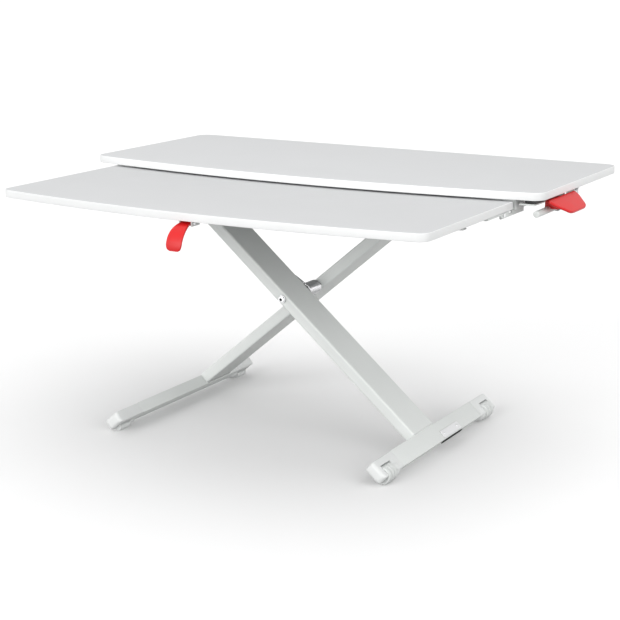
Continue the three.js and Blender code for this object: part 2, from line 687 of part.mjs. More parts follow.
// ---- release paddle ---------------------------------------------------------
// The paddle is a drooping tongue fixed to a shaft that runs along the desk's
// right side. Pulled up, it turns the shaft; a crank then pulls the lock rod.
function releasePaddle() {
  const tipFront = PADDLE_TIP_FRONT;
  const tipRear = PADDLE_LENGTH - PADDLE_TIP_REAR;
  const r = 9;
  const waist = PADDLE_REACH * 0.35;
  const outline = new THREE.Shape();
  outline.moveTo(0, 0);
  outline.lineTo(waist, 3);
  outline.lineTo(PADDLE_REACH - r, tipFront - 4);
  outline.quadraticCurveTo(PADDLE_REACH, tipFront, PADDLE_REACH, tipFront + r);
  outline.lineTo(PADDLE_REACH, tipRear - r);
  outline.quadraticCurveTo(PADDLE_REACH, tipRear, PADDLE_REACH - r, tipRear + 6);
  outline.lineTo(waist, PADDLE_LENGTH - 4);
  outline.lineTo(0, PADDLE_LENGTH);
  outline.closePath();
  const tongue = extrudeUp(outline, -PADDLE_THICK, 0, 6);
  tongue.rotateY(PADDLE_DROOP);
  const rootX = REAR_WIDTH / 2 + PADDLE_OVERHANG - PADDLE_REACH * Math.cos(PADDLE_DROOP);
  tongue.translate(rootX, PADDLE_Y, -PADDLE_DROP);
  const y0 = PADDLE_Y + SADDLE_START;
  const y1 = y0 + SADDLE_LENGTH;
  const under = -PADDLE_DROP - PADDLE_THICK;
  const saddle = box(SHAFT_X - 5, rootX + 7, y0, y1, -SHAFT_DROP + 2, under + 2);
  const hole = rodY(SHAFT_RADIUS + TOUCH, y0 - 1, y1 + 1, SHAFT_X, -SHAFT_DROP);
  return cut(join(tongue, saddle), hole);
}

function releaseShaft() {
  const y1 = SHAFT_START_Y + SHAFT_LENGTH;
  return rodY(SHAFT_RADIUS, SHAFT_START_Y, y1, SHAFT_X, -SHAFT_DROP);
}

// A black latch block hangs under the board beside the shaft, on a steel plate.
function latchBlock() {
  const x0 = SHAFT_X - 18;
  const z0 = RAIL_TOP - LATCH_THICK;
  return box(x0, x0 + 20, LATCH_Y + 4, LATCH_Y + LATCH_LENGTH - 4, z0, RAIL_TOP);
}

function latchPlate() {
  const x0 = SHAFT_X - 26;
  const z1 = RAIL_TOP - LATCH_THICK - TOUCH;
  return box(x0, x0 + 26, LATCH_Y, LATCH_Y + LATCH_LENGTH, z1 - LATCH_PLATE, z1);
}

// The hanger leans inwards above the shaft, which keeps it clear of the paddle's
// root as the paddle swings up.
function shaftBracket(y, towards) {
  const inner = -12;
  const outer = 2;
  const thick = BRACKET_THICK - 1;
  const top = RAIL_TOP;
  const outline = new THREE.Shape();
  outline.moveTo(outer, top);
  outline.lineTo(inner, top);
  outline.lineTo(-SHAFT_RADIUS - 3, -SHAFT_DROP);
  outline.absarc(0, -SHAFT_DROP, SHAFT_RADIUS + 3, Math.PI, Math.PI * 2);
  outline.closePath();
  const plate = extrudeAlongY(outline, y, y + thick, 8);
  const flangeStart = towards > 0 ? y : y - 13;
  const flange = box(inner, outer, flangeStart, flangeStart + 16, top - thick, top);
  const hole = rodY(SHAFT_RADIUS + RUNNING, y - 1, y + BRACKET_THICK, 0, -SHAFT_DROP);
  return cut(join(plate, flange), hole).translate(SHAFT_X, 0, 0);
}

// The crank stands up from the shaft, so squeezing the paddle pushes the rod
// towards the middle of the desk.
function releaseCrank(y) {
  const outline = new THREE.Shape();
  const r = SHAFT_RADIUS + 3.5;
  const tip = 4.5;
  outline.absarc(0, 0, r, Math.PI, Math.PI * 2);
  outline.lineTo(tip, CRANK_RADIUS);
  outline.absarc(0, CRANK_RADIUS, tip, 0, Math.PI);
  outline.closePath();
  const plate = extrudeAlongY(outline, y, y + CRANK_THICK, 8);
  const hole = rodY(SHAFT_RADIUS + TOUCH, y - 1, y + CRANK_THICK + 1);
  const pinEnd = y + CRANK_THICK + ROD_GAP + ROD_EYE + 2;
  const pin = rodY(CRANK_PIN_RADIUS, y + CRANK_THICK - 1, pinEnd, 0, CRANK_RADIUS, 16);
  return join(cut(plate, hole), pin).translate(SHAFT_X, 0, -SHAFT_DROP);
}

function returnSpring(y0, y1) {
  return ringY(SHAFT_RADIUS + 3, SHAFT_RADIUS + RUNNING, y0, y1, SHAFT_X, -SHAFT_DROP, 20);
}

function lockHousing(y, x0, x1) {
  const z = -SHAFT_DROP + CRANK_RADIUS;
  const block = box(x0, x1, y - 14, y + 14, z - HOUSING_BELOW, RAIL_TOP);
  const bore = rodX(ROD_RADIUS + RUNNING, x0 + 6, x1 + 1, y, z);
  return cut(block, bore);
}

// The rod's eye is slotted upright, so the crank's pin can fall as it swings.
function lockRod(y, x0) {
  const z = -SHAFT_DROP + CRANK_RADIUS;
  const half = ROD_EYE / 2;
  const slot = CRANK_PIN_RADIUS + TOUCH;
  const rod = rodX(ROD_RADIUS, x0, SHAFT_X - 4, y, z, 16);
  const eye = box(SHAFT_X - 6, SHAFT_X + 6, y - half, y + half, z - 7, z + 5);
  const gap = box(SHAFT_X - slot, SHAFT_X + slot, y - half - 1, y + half + 1, z - slot - 2, z + slot);
  return cut(join(rod, eye), gap);
}

// ---- tilt lever -------------------------------------------------------------
// A curved blade that hangs forward and down from a pin under the front board.
function leverY() {
  return FRONT_EDGE_Y - FRONT_BOW + LEVER_PIVOT_INSET;
}

function leverZ() {
  return FRONT_BOTTOM - TOUCH - LEVER_PIN_DROP;
}

// Seen from the side the blade is a bent strip; seen from the front it widens
// downwards and has round corners. The two outlines are crossed.
function tiltLever() {
  const path = new THREE.CubicBezierCurve(
    new THREE.Vector2(0, 0),
    new THREE.Vector2(-LEVER_REACH * 0.53, -LEVER_FALL * 0.05),
    new THREE.Vector2(-LEVER_REACH, -LEVER_FALL * 0.42),
    new THREE.Vector2(-LEVER_REACH * 0.98, -LEVER_FALL),
  );
  const steps = 14;
  const near = [];
  const far = [];
  for (let i = 0; i <= steps; i += 1) {
    const t = i / steps;
    const point = path.getPoint(t);
    const along = path.getTangent(t);
    const half = (LEVER_THICK / 2) * (1 - 0.25 * t);
    near.push([point.x - along.y * half, point.y + along.x * half]);
    far.unshift([point.x + along.y * half, point.y - along.x * half]);
  }
  const side = polygon([...near, ...far]);
  const strip = extrudeAlongX(side, -LEVER_WIDTH, LEVER_WIDTH);
  const root = LEVER_ROOT_WIDTH / 2;
  const wide = LEVER_WIDTH / 2;
  const foot = -LEVER_FALL - 2;
  const neck = -LEVER_PIN_RADIUS - 3;
  const front = new THREE.Shape();
  front.moveTo(-root, 6);
  front.lineTo(-root, neck);
  front.quadraticCurveTo(-wide, foot * 0.3, -wide, foot * 0.72);
  front.quadraticCurveTo(-wide, foot, -wide * 0.6, foot);
  front.lineTo(wide * 0.6, foot);
  front.quadraticCurveTo(wide, foot, wide, foot * 0.72);
  front.quadraticCurveTo(wide, foot * 0.3, root, neck);
  front.lineTo(root, 6);
  front.closePath();
  const blade = common(strip, extrudeAlongY(front, -LEVER_REACH - 9, 9, 8));
  const barrel = rodX(LEVER_PIN_RADIUS + 2, -root, root);
  const hole = rodX(LEVER_PIN_RADIUS + TOUCH / 2, -LEVER_WIDTH, LEVER_WIDTH, 0, 0, 16);
  return cut(join(blade, barrel), hole).translate(LEVER_X, leverY(), leverZ());
}

function leverPin() {
  const half = LEVER_ROOT_WIDTH / 2 + 5;
  return rodX(LEVER_PIN_RADIUS, LEVER_X - half, LEVER_X + half, leverY(), leverZ(), 16);
}

function leverBracket() {
  const half = LEVER_ROOT_WIDTH / 2 + RUNNING;
  const thick = 2.5;
  const top = FRONT_BOTTOM - TOUCH;
  const low = leverZ() - LEVER_PIN_RADIUS - 2.5;
  const y = leverY();
  const start = y + 5.5;
  const rear = y + 16;
  const ears = [];
  for (const x of [LEVER_X - half - thick, LEVER_X + half]) {
    ears.push(box(x, x + thick, y - 5, rear, low, top));
  }
  const plate = box(LEVER_X - half - 1, LEVER_X + half + 1, start, rear, top - thick, top);
  const hole = rodX(
    LEVER_PIN_RADIUS + TOUCH / 2,
    LEVER_X - half - 4,
    LEVER_X + half + 4,
    y,
    leverZ(),
    16,
  );
  return cut(join(plate, ...ears), hole);
}

// ---- assembly ---------------------------------------------------------------
function buildBase(desk) {
  const base = new THREE.Group();
  base.position.set(-LOWER_REACH * COS + AXLE_BELOW * SIN, 0, WHEEL_RADIUS);
  desk.add(base);
  for (const [end, rear] of [['front', false], ['rear', true]]) {
    add(base, `pad_${end}`, pad(rear), RUBBER);
    const y = slotMiddle(rear);
    const half = SLOT_WIDTH / 2 + 6;
    add(base, `pad_pin_${end}`, rodY(WHEEL_PIN_RADIUS, y - half, y + half, 0, 0, 16), STEEL);
  }
}

function buildArmA(desk) {
  const arm = new THREE.Group();
  arm.position.z = PIVOT_HEIGHT;
  arm.rotation.y = ARM_ANGLE;
  desk.add(arm);
  add(arm, 'arm_front', armTube(ARM_A_FRONT, ARM_A_REAR, 1), POWDER);
  const middle = (ARM_A_FRONT + ARM_A_REAR) / 2;
  add(arm, 'arm_front_plug', armEndPlug(ARM_A_WIDTH, middle, 1), NYLON);
  add(arm, 'pivot_bush_front', pivotBush(ARM_A_FRONT, ARM_A_REAR), NYLON);
  footRight(arm);
  add(arm, 'anchor_plate', anchorPlate(), STEEL);
  add(arm, 'anchor_strip', anchorPad(), RUBBER);
}

function buildArmB(desk) {
  const arm = new THREE.Group();
  arm.position.z = PIVOT_HEIGHT;
  arm.rotation.y = -ARM_ANGLE;
  desk.add(arm);
  add(arm, 'arm_rear', armTube(ARM_B_FRONT, ARM_B_REAR, -1), POWDER);
  const middle = (ARM_B_FRONT + ARM_B_REAR) / 2;
  add(arm, 'arm_rear_plug', armEndPlug(ARM_B_WIDTH, middle, -1), NYLON);
  add(arm, 'pivot_bush_rear', pivotBush(ARM_B_FRONT, ARM_B_REAR), NYLON);
  add(arm, 'pivot_shaft', pivotShaft(), STEEL);
  add(arm, 'pivot_bolt', pivotBolt(), STEEL);
  add(arm, 'pivot_washer_front', washer(ARM_A_FRONT, -1, BOLT_HEAD_RADIUS), STEEL);
  add(arm, 'pivot_washer_rear', washer(ARM_B_REAR, 1, BOLT_HEAD_RADIUS + 2.4), STEEL);
  add(arm, 'pivot_nut', pivotNut(), STEEL);
  add(arm, 'lift_spring', liftSpring(), SPRING_STEEL);
  footLeft(arm);
  add(arm, 'roller_axle', rollerAxle(), STEEL);
  add(arm, 'track_roller_front', roller(false), NYLON);
  add(arm, 'track_roller_rear', roller(true), NYLON);
}

function buildPlatform(desk) {
  const platform = new THREE.Group();
  platform.position.z = TOP_HEIGHT;
  desk.add(platform);
  add(platform, 'rear_board', rearBoard(), LAMINATE);
  add(platform, 'rail_front', rail(RAIL_FRONT_Y), POWDER);
  add(platform, 'rail_rear', rail(RAIL_REAR_Y), POWDER);
  add(platform, 'beam_left', beam(HINGE_X), POWDER);
  add(platform, 'beam_right', beam((ROLLER_IN_X + ROLLER_OUT_X) / 2), POWDER);
  add(platform, 'hinge_bracket', hingeBracket(), POWDER);
  add(platform, 'hinge_axle', hingeAxle(), STEEL);
  add(platform, 'track_front', track(false), POWDER);
  add(platform, 'track_rear', track(true), POWDER);

  const crankY = PADDLE_Y + PADDLE_LENGTH + 24;
  const springStart = PADDLE_Y + SADDLE_START + SADDLE_LENGTH + 2;
  const frontBracketY = springStart + 24;
  add(platform, 'latch_plate', latchPlate(), POWDER);
  add(platform, 'latch_block', latchBlock(), NYLON);
  add(platform, 'shaft_bracket_front', shaftBracket(frontBracketY, 1), POWDER);
  add(platform, 'shaft_bracket_rear', shaftBracket(crankY - 6, -1), POWDER);
  add(platform, 'release_paddle', releasePaddle(), RED);
  add(platform, 'release_shaft', releaseShaft(), POWDER);
  add(platform, 'release_spring', returnSpring(springStart, frontBracketY - 2), SPRING_STEEL);
  add(platform, 'release_crank', releaseCrank(crankY), STEEL);
  const housingX = SHAFT_X - 146;
  const housingY = crankY + CRANK_THICK + ROD_GAP + ROD_EYE / 2;
  add(platform, 'lock_housing', lockHousing(housingY, housingX, housingX + HOUSING_LENGTH), NYLON);
  add(platform, 'lock_rod', lockRod(housingY, housingX + ROD_ENTRY), STEEL);

  add(platform, 'front_board', frontBoard(), LAMINATE);
  for (const [name, side] of [['left', -1], ['right', 1]]) {
    add(platform, `tilt_bracket_${name}`, tiltBracket(side), POWDER);
    add(platform, `tilt_arm_${name}`, tiltArm(side), POWDER);
    add(platform, `tilt_pin_${name}`, tiltPin(side), STEEL);
  }
  add(platform, 'tilt_lever', tiltLever(), RED);
  add(platform, 'tilt_lever_pin', leverPin(), STEEL);
  add(platform, 'tilt_lever_bracket', leverBracket(), POWDER);
}

// The whole stands on Z = 0 with its bounding box centred over the origin.
function centre(desk) {
  desk.updateMatrixWorld(true);
  const bounds = new THREE.Box3().setFromObject(desk, true);
  const middle = bounds.getCenter(new THREE.Vector3());
  desk.position.set(-middle.x, -middle.y, -bounds.min.z);
}

const group = new THREE.Group();
const desk = new THREE.Group();
group.add(desk);
buildBase(desk);
buildArmA(desk);
buildArmB(desk);
buildPlatform(desk);
centre(desk);

export default group;
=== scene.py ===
# %% [markdown]
# # A sit-stand desk converter
# Two boards ride on crossed steel arms. The measured model holds every piece at its
# real size, in metres, with +Z up. This lesson dresses those pieces: it rounds their
# edges, rebuilds the small hardware in more detail and gives each one its finish.

# %% Load the measured model
import json
import math

import bmesh
import bpy
from mathutils import Matrix, Vector


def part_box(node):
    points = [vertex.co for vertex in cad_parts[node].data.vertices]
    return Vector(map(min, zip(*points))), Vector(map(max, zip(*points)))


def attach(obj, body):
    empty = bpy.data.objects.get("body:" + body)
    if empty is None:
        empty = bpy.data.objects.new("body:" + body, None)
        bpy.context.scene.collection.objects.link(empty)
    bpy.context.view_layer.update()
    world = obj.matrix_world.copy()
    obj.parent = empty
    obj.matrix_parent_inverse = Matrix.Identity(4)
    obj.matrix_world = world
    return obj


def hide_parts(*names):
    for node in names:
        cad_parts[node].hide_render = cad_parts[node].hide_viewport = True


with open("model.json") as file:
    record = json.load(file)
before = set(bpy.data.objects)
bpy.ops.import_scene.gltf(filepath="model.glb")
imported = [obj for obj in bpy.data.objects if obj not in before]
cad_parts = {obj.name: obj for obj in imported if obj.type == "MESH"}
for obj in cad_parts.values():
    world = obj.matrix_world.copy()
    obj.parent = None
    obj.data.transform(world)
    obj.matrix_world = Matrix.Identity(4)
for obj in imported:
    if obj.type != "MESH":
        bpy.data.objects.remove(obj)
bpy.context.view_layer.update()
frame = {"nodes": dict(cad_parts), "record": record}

# %% [markdown]
# ## The camera
# The converter is seen from its front right, a little above the boards. The camera
# stands at a fixed offset from the middle of the rear board, so the view follows the
# model. A long lens (84 mm on a 36 mm sensor) keeps the boards' edges nearly parallel.

# %% Camera
rear_low, rear_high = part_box("rear_board")
BOARD_DEPTH_AT_ENDS = 0.354
BOARD_MIDDLE_X = (rear_low[0] + rear_high[0]) / 2
view_origin = Vector((BOARD_MIDDLE_X, rear_high[1] - BOARD_DEPTH_AT_ENDS, rear_high[2]))
CAMERA_OFFSET = Vector((1.30481, -2.11665, 0.38404))
YAW, PITCH, ROLL = math.radians(31.22), math.radians(14.20), math.radians(-0.37)
LENS_MM, SENSOR_MM, FAR_CLIP = 84.02, 36, 50
right = Vector((math.cos(YAW), math.sin(YAW), 0))
level = Vector((-math.sin(YAW), math.cos(YAW), 0))
forward = Vector((level.x * math.cos(PITCH), level.y * math.cos(PITCH), -math.sin(PITCH)))
up = right.cross(forward)
side = right * math.cos(ROLL) + up * math.sin(ROLL)
upright = up * math.cos(ROLL) - right * math.sin(ROLL)
camera_data = bpy.data.cameras.new("camera")
camera_data.lens = LENS_MM
camera_data.sensor_width = SENSOR_MM
camera_data.clip_end = FAR_CLIP
camera = bpy.data.objects.new("camera", camera_data)
bpy.context.scene.collection.objects.link(camera)
turn = Matrix((side, upright, -forward)).transposed().to_4x4()
camera.matrix_world = Matrix.Translation(view_origin + CAMERA_OFFSET) @ turn
bpy.context.scene.camera = camera
print("camera at", [round(v, 3) for v in camera.location])

# %% [markdown]
# ## Tools for finishes
# Colours are written as the hex codes that a screen shows. Shaders work with linear
# light, so one function turns a code into linear numbers. Another adds one node, sets
# its values and joins its inputs, which keeps every material short to read.

# %% Colour and node helpers
def linear(code):
    """Turns a screen colour such as #808080 into linear light, with full alpha."""
    channels = [int(code[i:i + 2], 16) / 255 for i in (1, 3, 5)]
    return [c / 12.92 if c <= 0.04045 else ((c + 0.055) / 1.055) ** 2.4 for c in channels] + [1.0]


def add_node(tree, kind, settings=None, links=None):
    """settings fill sockets or properties; links join other nodes' outputs to sockets."""
    node = tree.nodes.new(kind)
    for key, value in (settings or {}).items():
        if isinstance(key, int) or key in node.inputs:
            node.inputs[key].default_value = value
        else:
            setattr(node, key, value)
    for key, source in (links or {}).items():
        tree.links.new(source, node.inputs[key])
    return node


def new_finish(name, metallic, ior):
    finish = bpy.data.materials.new(name)
    finish.use_nodes = True
    tree = finish.node_tree
    shader = tree.nodes["Principled BSDF"]
    shader.inputs["Metallic"].default_value = metallic
    shader.inputs["IOR"].default_value = ior
    place = add_node(tree, "ShaderNodeTexCoord").outputs["Object"]
    return finish, tree, shader, place


def per_metre(size_mm):
    """The texture scale that draws one feature every size_mm."""
    return 1000.0 / size_mm


print("mid grey is", [round(v, 3) for v in linear("#808080")])

# %% [markdown]
# ## The usual moulded or coated finish
# Plastic and powder coat share one recipe: a faint cloud of two near colours, a
# roughness that wanders a little, and a fine grain in the bump. Only the numbers
# differ, so one function builds them from the grain's real size in millimetres.

# %% Coated and moulded finishes
ROUGHNESS_DRIFT = 0.05
GRAIN_STRENGTH = 0.6


def grained_finish(name, light, dark, cloud_mm, grain_mm, grain_depth_mm, rough, ior=1.5):
    finish, tree, shader, place = new_finish(name, 0.0, ior)
    cloud = add_node(tree, "ShaderNodeTexNoise", {"Scale": per_metre(cloud_mm), "Detail": 3.0},
                     {"Vector": place})
    tint = add_node(tree, "ShaderNodeMix", {"data_type": "RGBA", 6: linear(dark), 7: linear(light)},
                    {0: cloud.outputs[0]})
    tree.links.new(tint.outputs[2], shader.inputs["Base Color"])
    gloss = add_node(tree, "ShaderNodeMapRange", {3: rough - ROUGHNESS_DRIFT, 4: rough + ROUGHNESS_DRIFT},
                     {0: cloud.outputs[0]})
    tree.links.new(gloss.outputs[0], shader.inputs["Roughness"])
    grain = add_node(tree, "ShaderNodeTexNoise", {"Scale": per_metre(grain_mm), "Detail": 2.0},
                     {"Vector": place})
    depth = {"Strength": GRAIN_STRENGTH, "Distance": grain_depth_mm / 1000}
    bump = add_node(tree, "ShaderNodeBump", depth, {"Height": grain.outputs[0]})
    tree.links.new(bump.outputs[0], shader.inputs["Normal"])
    return finish


# Powder coat melts into a soft orange peel, about 0.8 mm from bump to bump. It is
# drawn at 1.6 mm, twice its size, so that it still shows from a metre away. It gives
# the steel a soft sheen that breaks up slightly along each flat face.
powder_coat = grained_finish("powder_coated_steel", "#DDE0DE", "#D6D9D7", 60, 1.6, 0.03, 0.42)
# ABS leaves a spark-eroded mould with a grain of about 0.3 mm, drawn at 0.8 mm. The
# eye reads it as a duller, drier grey than the paint beside it.
moulded_abs = grained_finish("moulded_grey_abs", "#DFE1E0", "#D8DAD9", 25, 0.8, 0.02, 0.5, 1.53)
# The wheels are acetal, moulded smoother and polished by rolling, which makes them a
# little glossier than the caps beside them.
moulded_wheel = grained_finish("moulded_acetal_wheel", "#DDDFDE", "#D2D5D3",
                               12, 0.8, 0.012, 0.38, 1.48)
# The grips are polished ABS: their grain is shallow, so the red stays clean and its
# highlights are smooth.
red_abs = grained_finish("polished_red_abs", "#D60508", "#C80307", 18, 1.2, 0.006, 0.4, 1.53)
# Black nylon keeps a dull mould skin. The eye sees a dark part with soft edges.
black_nylon = grained_finish("moulded_black_nylon", "#262626", "#1B1B1C", 10, 0.8, 0.02, 0.5, 1.53)
# Rubber is the dullest finish here: a coarse, almost powdery black.
black_rubber = grained_finish("moulded_black_rubber", "#1E1E1F", "#141415", 8, 0.9, 0.04, 0.8, 1.52)
print("six grained finishes")

# %% [markdown]
# ## Melamine faced board
# The boards are fibreboard with a grey printed paper pressed on in melamine resin.
# The press plate leaves a fine pebble, and the print carries a scatter of tiny darker
# specks. The rim is a separate ABS band, smoother than the face. Its almost white colour
# is partly painted light, for a rim that the front light makes brighter than the top.

# %% Board finishes
MOTTLE_MM, SPECK_MM, PEBBLE_MM = 90, 2.5, 1.4
# The face is matt grey. The eye gets a calm, even top that is never quite one colour.
board_face, tree, shader, place = new_finish("melamine_faced_board", 0.0, 1.5)
mottle = add_node(tree, "ShaderNodeTexNoise", {"Scale": per_metre(MOTTLE_MM), "Detail": 4.0},
                  {"Vector": place})
print_greys = {"data_type": "RGBA", 6: linear("#C1C2C3"), 7: linear("#C6C7C8")}
base_tint = add_node(tree, "ShaderNodeMix", print_greys, {0: mottle.outputs[0]})
# Print specks are about 0.5 mm on the real paper. They are drawn at 2.5 mm.
specks = add_node(tree, "ShaderNodeTexVoronoi", {"Scale": per_metre(SPECK_MM)}, {"Vector": place})
speck_edge = add_node(tree, "ShaderNodeMapRange", {1: 0.12, 2: 0.2, 3: 0.35, 4: 0.0},
                      {0: specks.outputs["Distance"]})
speck_tint = add_node(tree, "ShaderNodeMix", {"data_type": "RGBA", 7: linear("#B8BABB")},
                      {0: speck_edge.outputs[0], 6: base_tint.outputs[2]})
tree.links.new(speck_tint.outputs[2], shader.inputs["Base Color"])
sheen_drift = add_node(tree, "ShaderNodeMapRange", {3: 0.50, 4: 0.60}, {0: mottle.outputs[0]})
tree.links.new(sheen_drift.outputs[0], shader.inputs["Roughness"])
# The pressed pebble is about 0.5 mm across, drawn at 1.4 mm and 0.03 mm deep.
pebble = add_node(tree, "ShaderNodeTexNoise", {"Scale": per_metre(PEBBLE_MM), "Detail": 2.0},
                  {"Vector": place})
pebble_bump = add_node(tree, "ShaderNodeBump", {"Strength": 0.5, "Distance": 0.00003},
                       {"Height": pebble.outputs[0]})
tree.links.new(pebble_bump.outputs[0], shader.inputs["Normal"])
# The banding is smoother than the face, and its paler colour is partly painted light: the bright line
# that front light draws round the rim.
pale_band_painted_light = grained_finish("abs_rim_painted_light", "#E9EAEA", "#E2E3E3", 40, 1.0, 0.01, 0.4, 1.53)
print("board finishes", board_face.name, pale_band_painted_light.name)

# %% [markdown]
# ## Bright metals
# Zinc plate is a thin bright coat, and rolling or drawing leaves fine lines along the
# steel under it. Stretching a noise along one axis draws those lines. Metals keep the
# default IOR; their colour does the work.

# %% Metal finishes
def metal_finish(name, light, dark, stretch, line_mm, rough):
    finish, tree, shader, place = new_finish(name, 1.0, 1.5)
    drawn = add_node(tree, "ShaderNodeMapping", {"Scale": stretch}, {"Vector": place})
    lines = add_node(tree, "ShaderNodeTexNoise", {"Scale": per_metre(line_mm), "Detail": 4.0},
                     {"Vector": drawn.outputs[0]})
    tint = add_node(tree, "ShaderNodeMix", {"data_type": "RGBA", 6: linear(dark), 7: linear(light)},
                    {0: lines.outputs[0]})
    tree.links.new(tint.outputs[2], shader.inputs["Base Color"])
    gloss = add_node(tree, "ShaderNodeMapRange", {3: rough - 0.08, 4: rough + 0.1},
                     {0: lines.outputs[0]})
    tree.links.new(gloss.outputs[0], shader.inputs["Roughness"])
    bump = add_node(tree, "ShaderNodeBump", {"Strength": 0.4, "Distance": 0.00001},
                    {"Height": lines.outputs[0]})
    tree.links.new(bump.outputs[0], shader.inputs["Normal"])
    return finish


# Turned and drawn lines are about 0.1 mm apart, drawn here at 0.6 mm. Zinc plate gives
# small parts a pale, slightly blurred shine.
zinc = metal_finish("zinc_plated_steel", "#F6F6F6", "#EBECEE", (1, 0.1, 1), 0.6, 0.32)
# Hard drawn wire is the glossiest metal here, so each turn of a spring shows a line.
spring_wire = metal_finish("drawn_spring_steel", "#E6E6E7", "#BDBDBF", (1, 1, 1), 0.8, 0.2)
# A dark steel with a dull glint, used only as painted shade deep in the bolt's socket.
socket_shade_metal = metal_finish("dark_steel_painted_shade", "#3A3B3D", "#242527", (1, 1, 1), 0.8, 0.42)
print("metals", zinc.name, spring_wire.name, socket_shade_metal.name)

# %% [markdown]
# ## From a measured solid to a finished piece
# A sawn, folded or moulded part never has a perfectly sharp edge, and the thin bright
# line on that edge is what makes it look real. The measured solid is copied, its flat
# faces are merged, and each sharp edge gets a small round of its own real radius.

# %% Rounding a measured piece
ROUND_CORNER = math.radians(26)
SAME_POINT, SAME_PLANE = 1e-5, math.radians(0.5)
BODY_OF = {}
for body, names in frame["record"]["behaviour"]["bodies"].items():
    for name in names:
        BODY_OF[name] = body
SLOT_OF = {row["node"]: row["material_slot"] for row in frame["record"]["subparts"]}


def place_piece(mesh, name, finish, body, nodes=()):
    for polygon in mesh.polygons:
        polygon.use_smooth = True
    mesh.materials.append(finish)
    piece = bpy.data.objects.new(name, mesh)
    bpy.context.scene.collection.objects.link(piece)
    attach(piece, body)
    if nodes:
        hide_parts(*nodes)
    return piece


def mark_sharp(mesh, angle):
    mesh.set_sharp_from_angle(angle=angle)


def solid_of(node):
    source = frame["nodes"][node].data
    bm = bmesh.new()
    corners = [bm.verts.new(v.co) for v in source.vertices]
    for polygon in source.polygons:
        bm.faces.new([corners[i] for i in polygon.vertices])
    bmesh.ops.remove_doubles(bm, verts=bm.verts, dist=SAME_POINT)
    bmesh.ops.dissolve_limit(bm, angle_limit=SAME_PLANE, verts=bm.verts, edges=bm.edges)
    return bm


def round_edges(bm, radius_mm, segments):
    sharp = [e for e in bm.edges if e.is_manifold and e.calc_face_angle() > ROUND_CORNER]
    bmesh.ops.bevel(bm, geom=sharp, offset=radius_mm / 1000, offset_type="OFFSET",
                    segments=segments, profile=0.5, affect="EDGES", clamp_overlap=True)


def finished(node, finish, radius_mm=0.5, segments=3):
    bm = solid_of(node)
    round_edges(bm, radius_mm, segments)
    mesh = bpy.data.meshes.new(node)
    bm.to_mesh(mesh)
    bm.free()
    piece = place_piece(mesh, "fine_" + node, finish, BODY_OF[node], [node])
    mark_sharp(mesh, math.radians(40))
    return piece


print(len(BODY_OF), "nodes know their body")

# %% [markdown]
# ## The boards
# Each board is sawn from one sheet with a shallow bow in its front edge, and the rim
# is banded. The band's top and bottom edges are eased by about a millimetre so that
# wrists rest on them. The face and the rim are one mesh with two finishes.

# %% Boards
BAND_ROUND = 1.0
FACE_IS_LEVEL = 0.98
for node in ("rear_board", "front_board"):
    board = finished(node, board_face, BAND_ROUND, 4)
    board.data.materials.append(pale_band_painted_light)
    # Level faces take the grey face, and every upright face takes the pale band, so the rim is painted
    # brighter than the top.
    for polygon in board.data.polygons:
        polygon.material_index = 0 if abs(polygon.normal.z) > FACE_IS_LEVEL else 1
    low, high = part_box(node)
    print(node, "is", [round((b - a) * 1000, 1) for a, b in zip(low, high)], "mm")

# %% [markdown]
# ## Steel arms, feet and rails
# Arms and rails are welded tube, feet are folded steel, and all are powder coated,
# which rounds every edge to about half a millimetre.

# %% Coated steel
PAINTED_EDGE = 0.5
coated = [node for node, slot_name in SLOT_OF.items() if slot_name == "powder_steel"]
for node in coated:
    finished(node, powder_coat, PAINTED_EDGE)
print(len(coated), "coated pieces")

# %% [markdown]
# ## Plugs, bushes and strips
# Nylon and rubber parts leave their moulds with soft edges. The measured solids are
# already the right shape, so rounding them is enough. The track rollers wait for their
# own cell, where they are turned with a crown.

# %% Plain nylon and rubber pieces
NYLON_EDGE, RUBBER_EDGE = 0.5, 0.6
soft = [node for node, slot_name in SLOT_OF.items() if slot_name in ("black_nylon", "rubber")]
soft = [node for node in soft if not node.startswith("track_roller")]
for node in soft:
    if SLOT_OF[node] == "rubber":
        finished(node, black_rubber, RUBBER_EDGE)
    else:
        finished(node, black_nylon, NYLON_EDGE)
print(len(soft), "nylon and rubber pieces")

# %% [markdown]
# ## Pins and small plates
# Cut bar and sheet have crisper edges than paint or plastic, so their round is small.
# The pivot bolt and its nut are rebuilt later with a socket and flats.

# %% Plain metal pins and plates
CUT_EDGE = 0.3
plated = [node for node, slot_name in SLOT_OF.items() if slot_name == "zinc_steel"]
plated = [node for node in plated if node not in ("pivot_bolt", "pivot_nut")]
for node in plated:
    finished(node, zinc, CUT_EDGE)
print(len(plated), "plated pieces")

# %% [markdown]
# ## Round pieces
# Wheels, rollers, bolts and nuts are turned about an axis. Each is a stack of rings:
# every ring has a place along the axis and an outline, which is a circle, a hexagon
# or a cross. Joining ring to ring gives the wall. One flat face closes each end, unless
# the stack closes on itself round a bore.

# %% Ring stacks
RING = 48
TINY = 1e-6


def circle(radius):
    return [radius] * RING


def hexagon(flat, limit=math.inf):
    outline = []
    for i in range(RING):
        angle = (i / RING * 2 * math.pi) % (math.pi / 3) - math.pi / 6
        outline.append(min(flat / math.cos(angle), limit))
    return outline


def cross(arm, width):
    outline = []
    for i in range(RING):
        angle = i / RING * 2 * math.pi
        c, s = abs(math.cos(angle)), abs(math.sin(angle))
        c, s = max(c, TINY), max(s, TINY)
        flat_bar = min(arm / c, width / s)
        tall_bar = min(arm / s, width / c)
        outline.append(min(max(flat_bar, tall_bar), arm))
    return outline


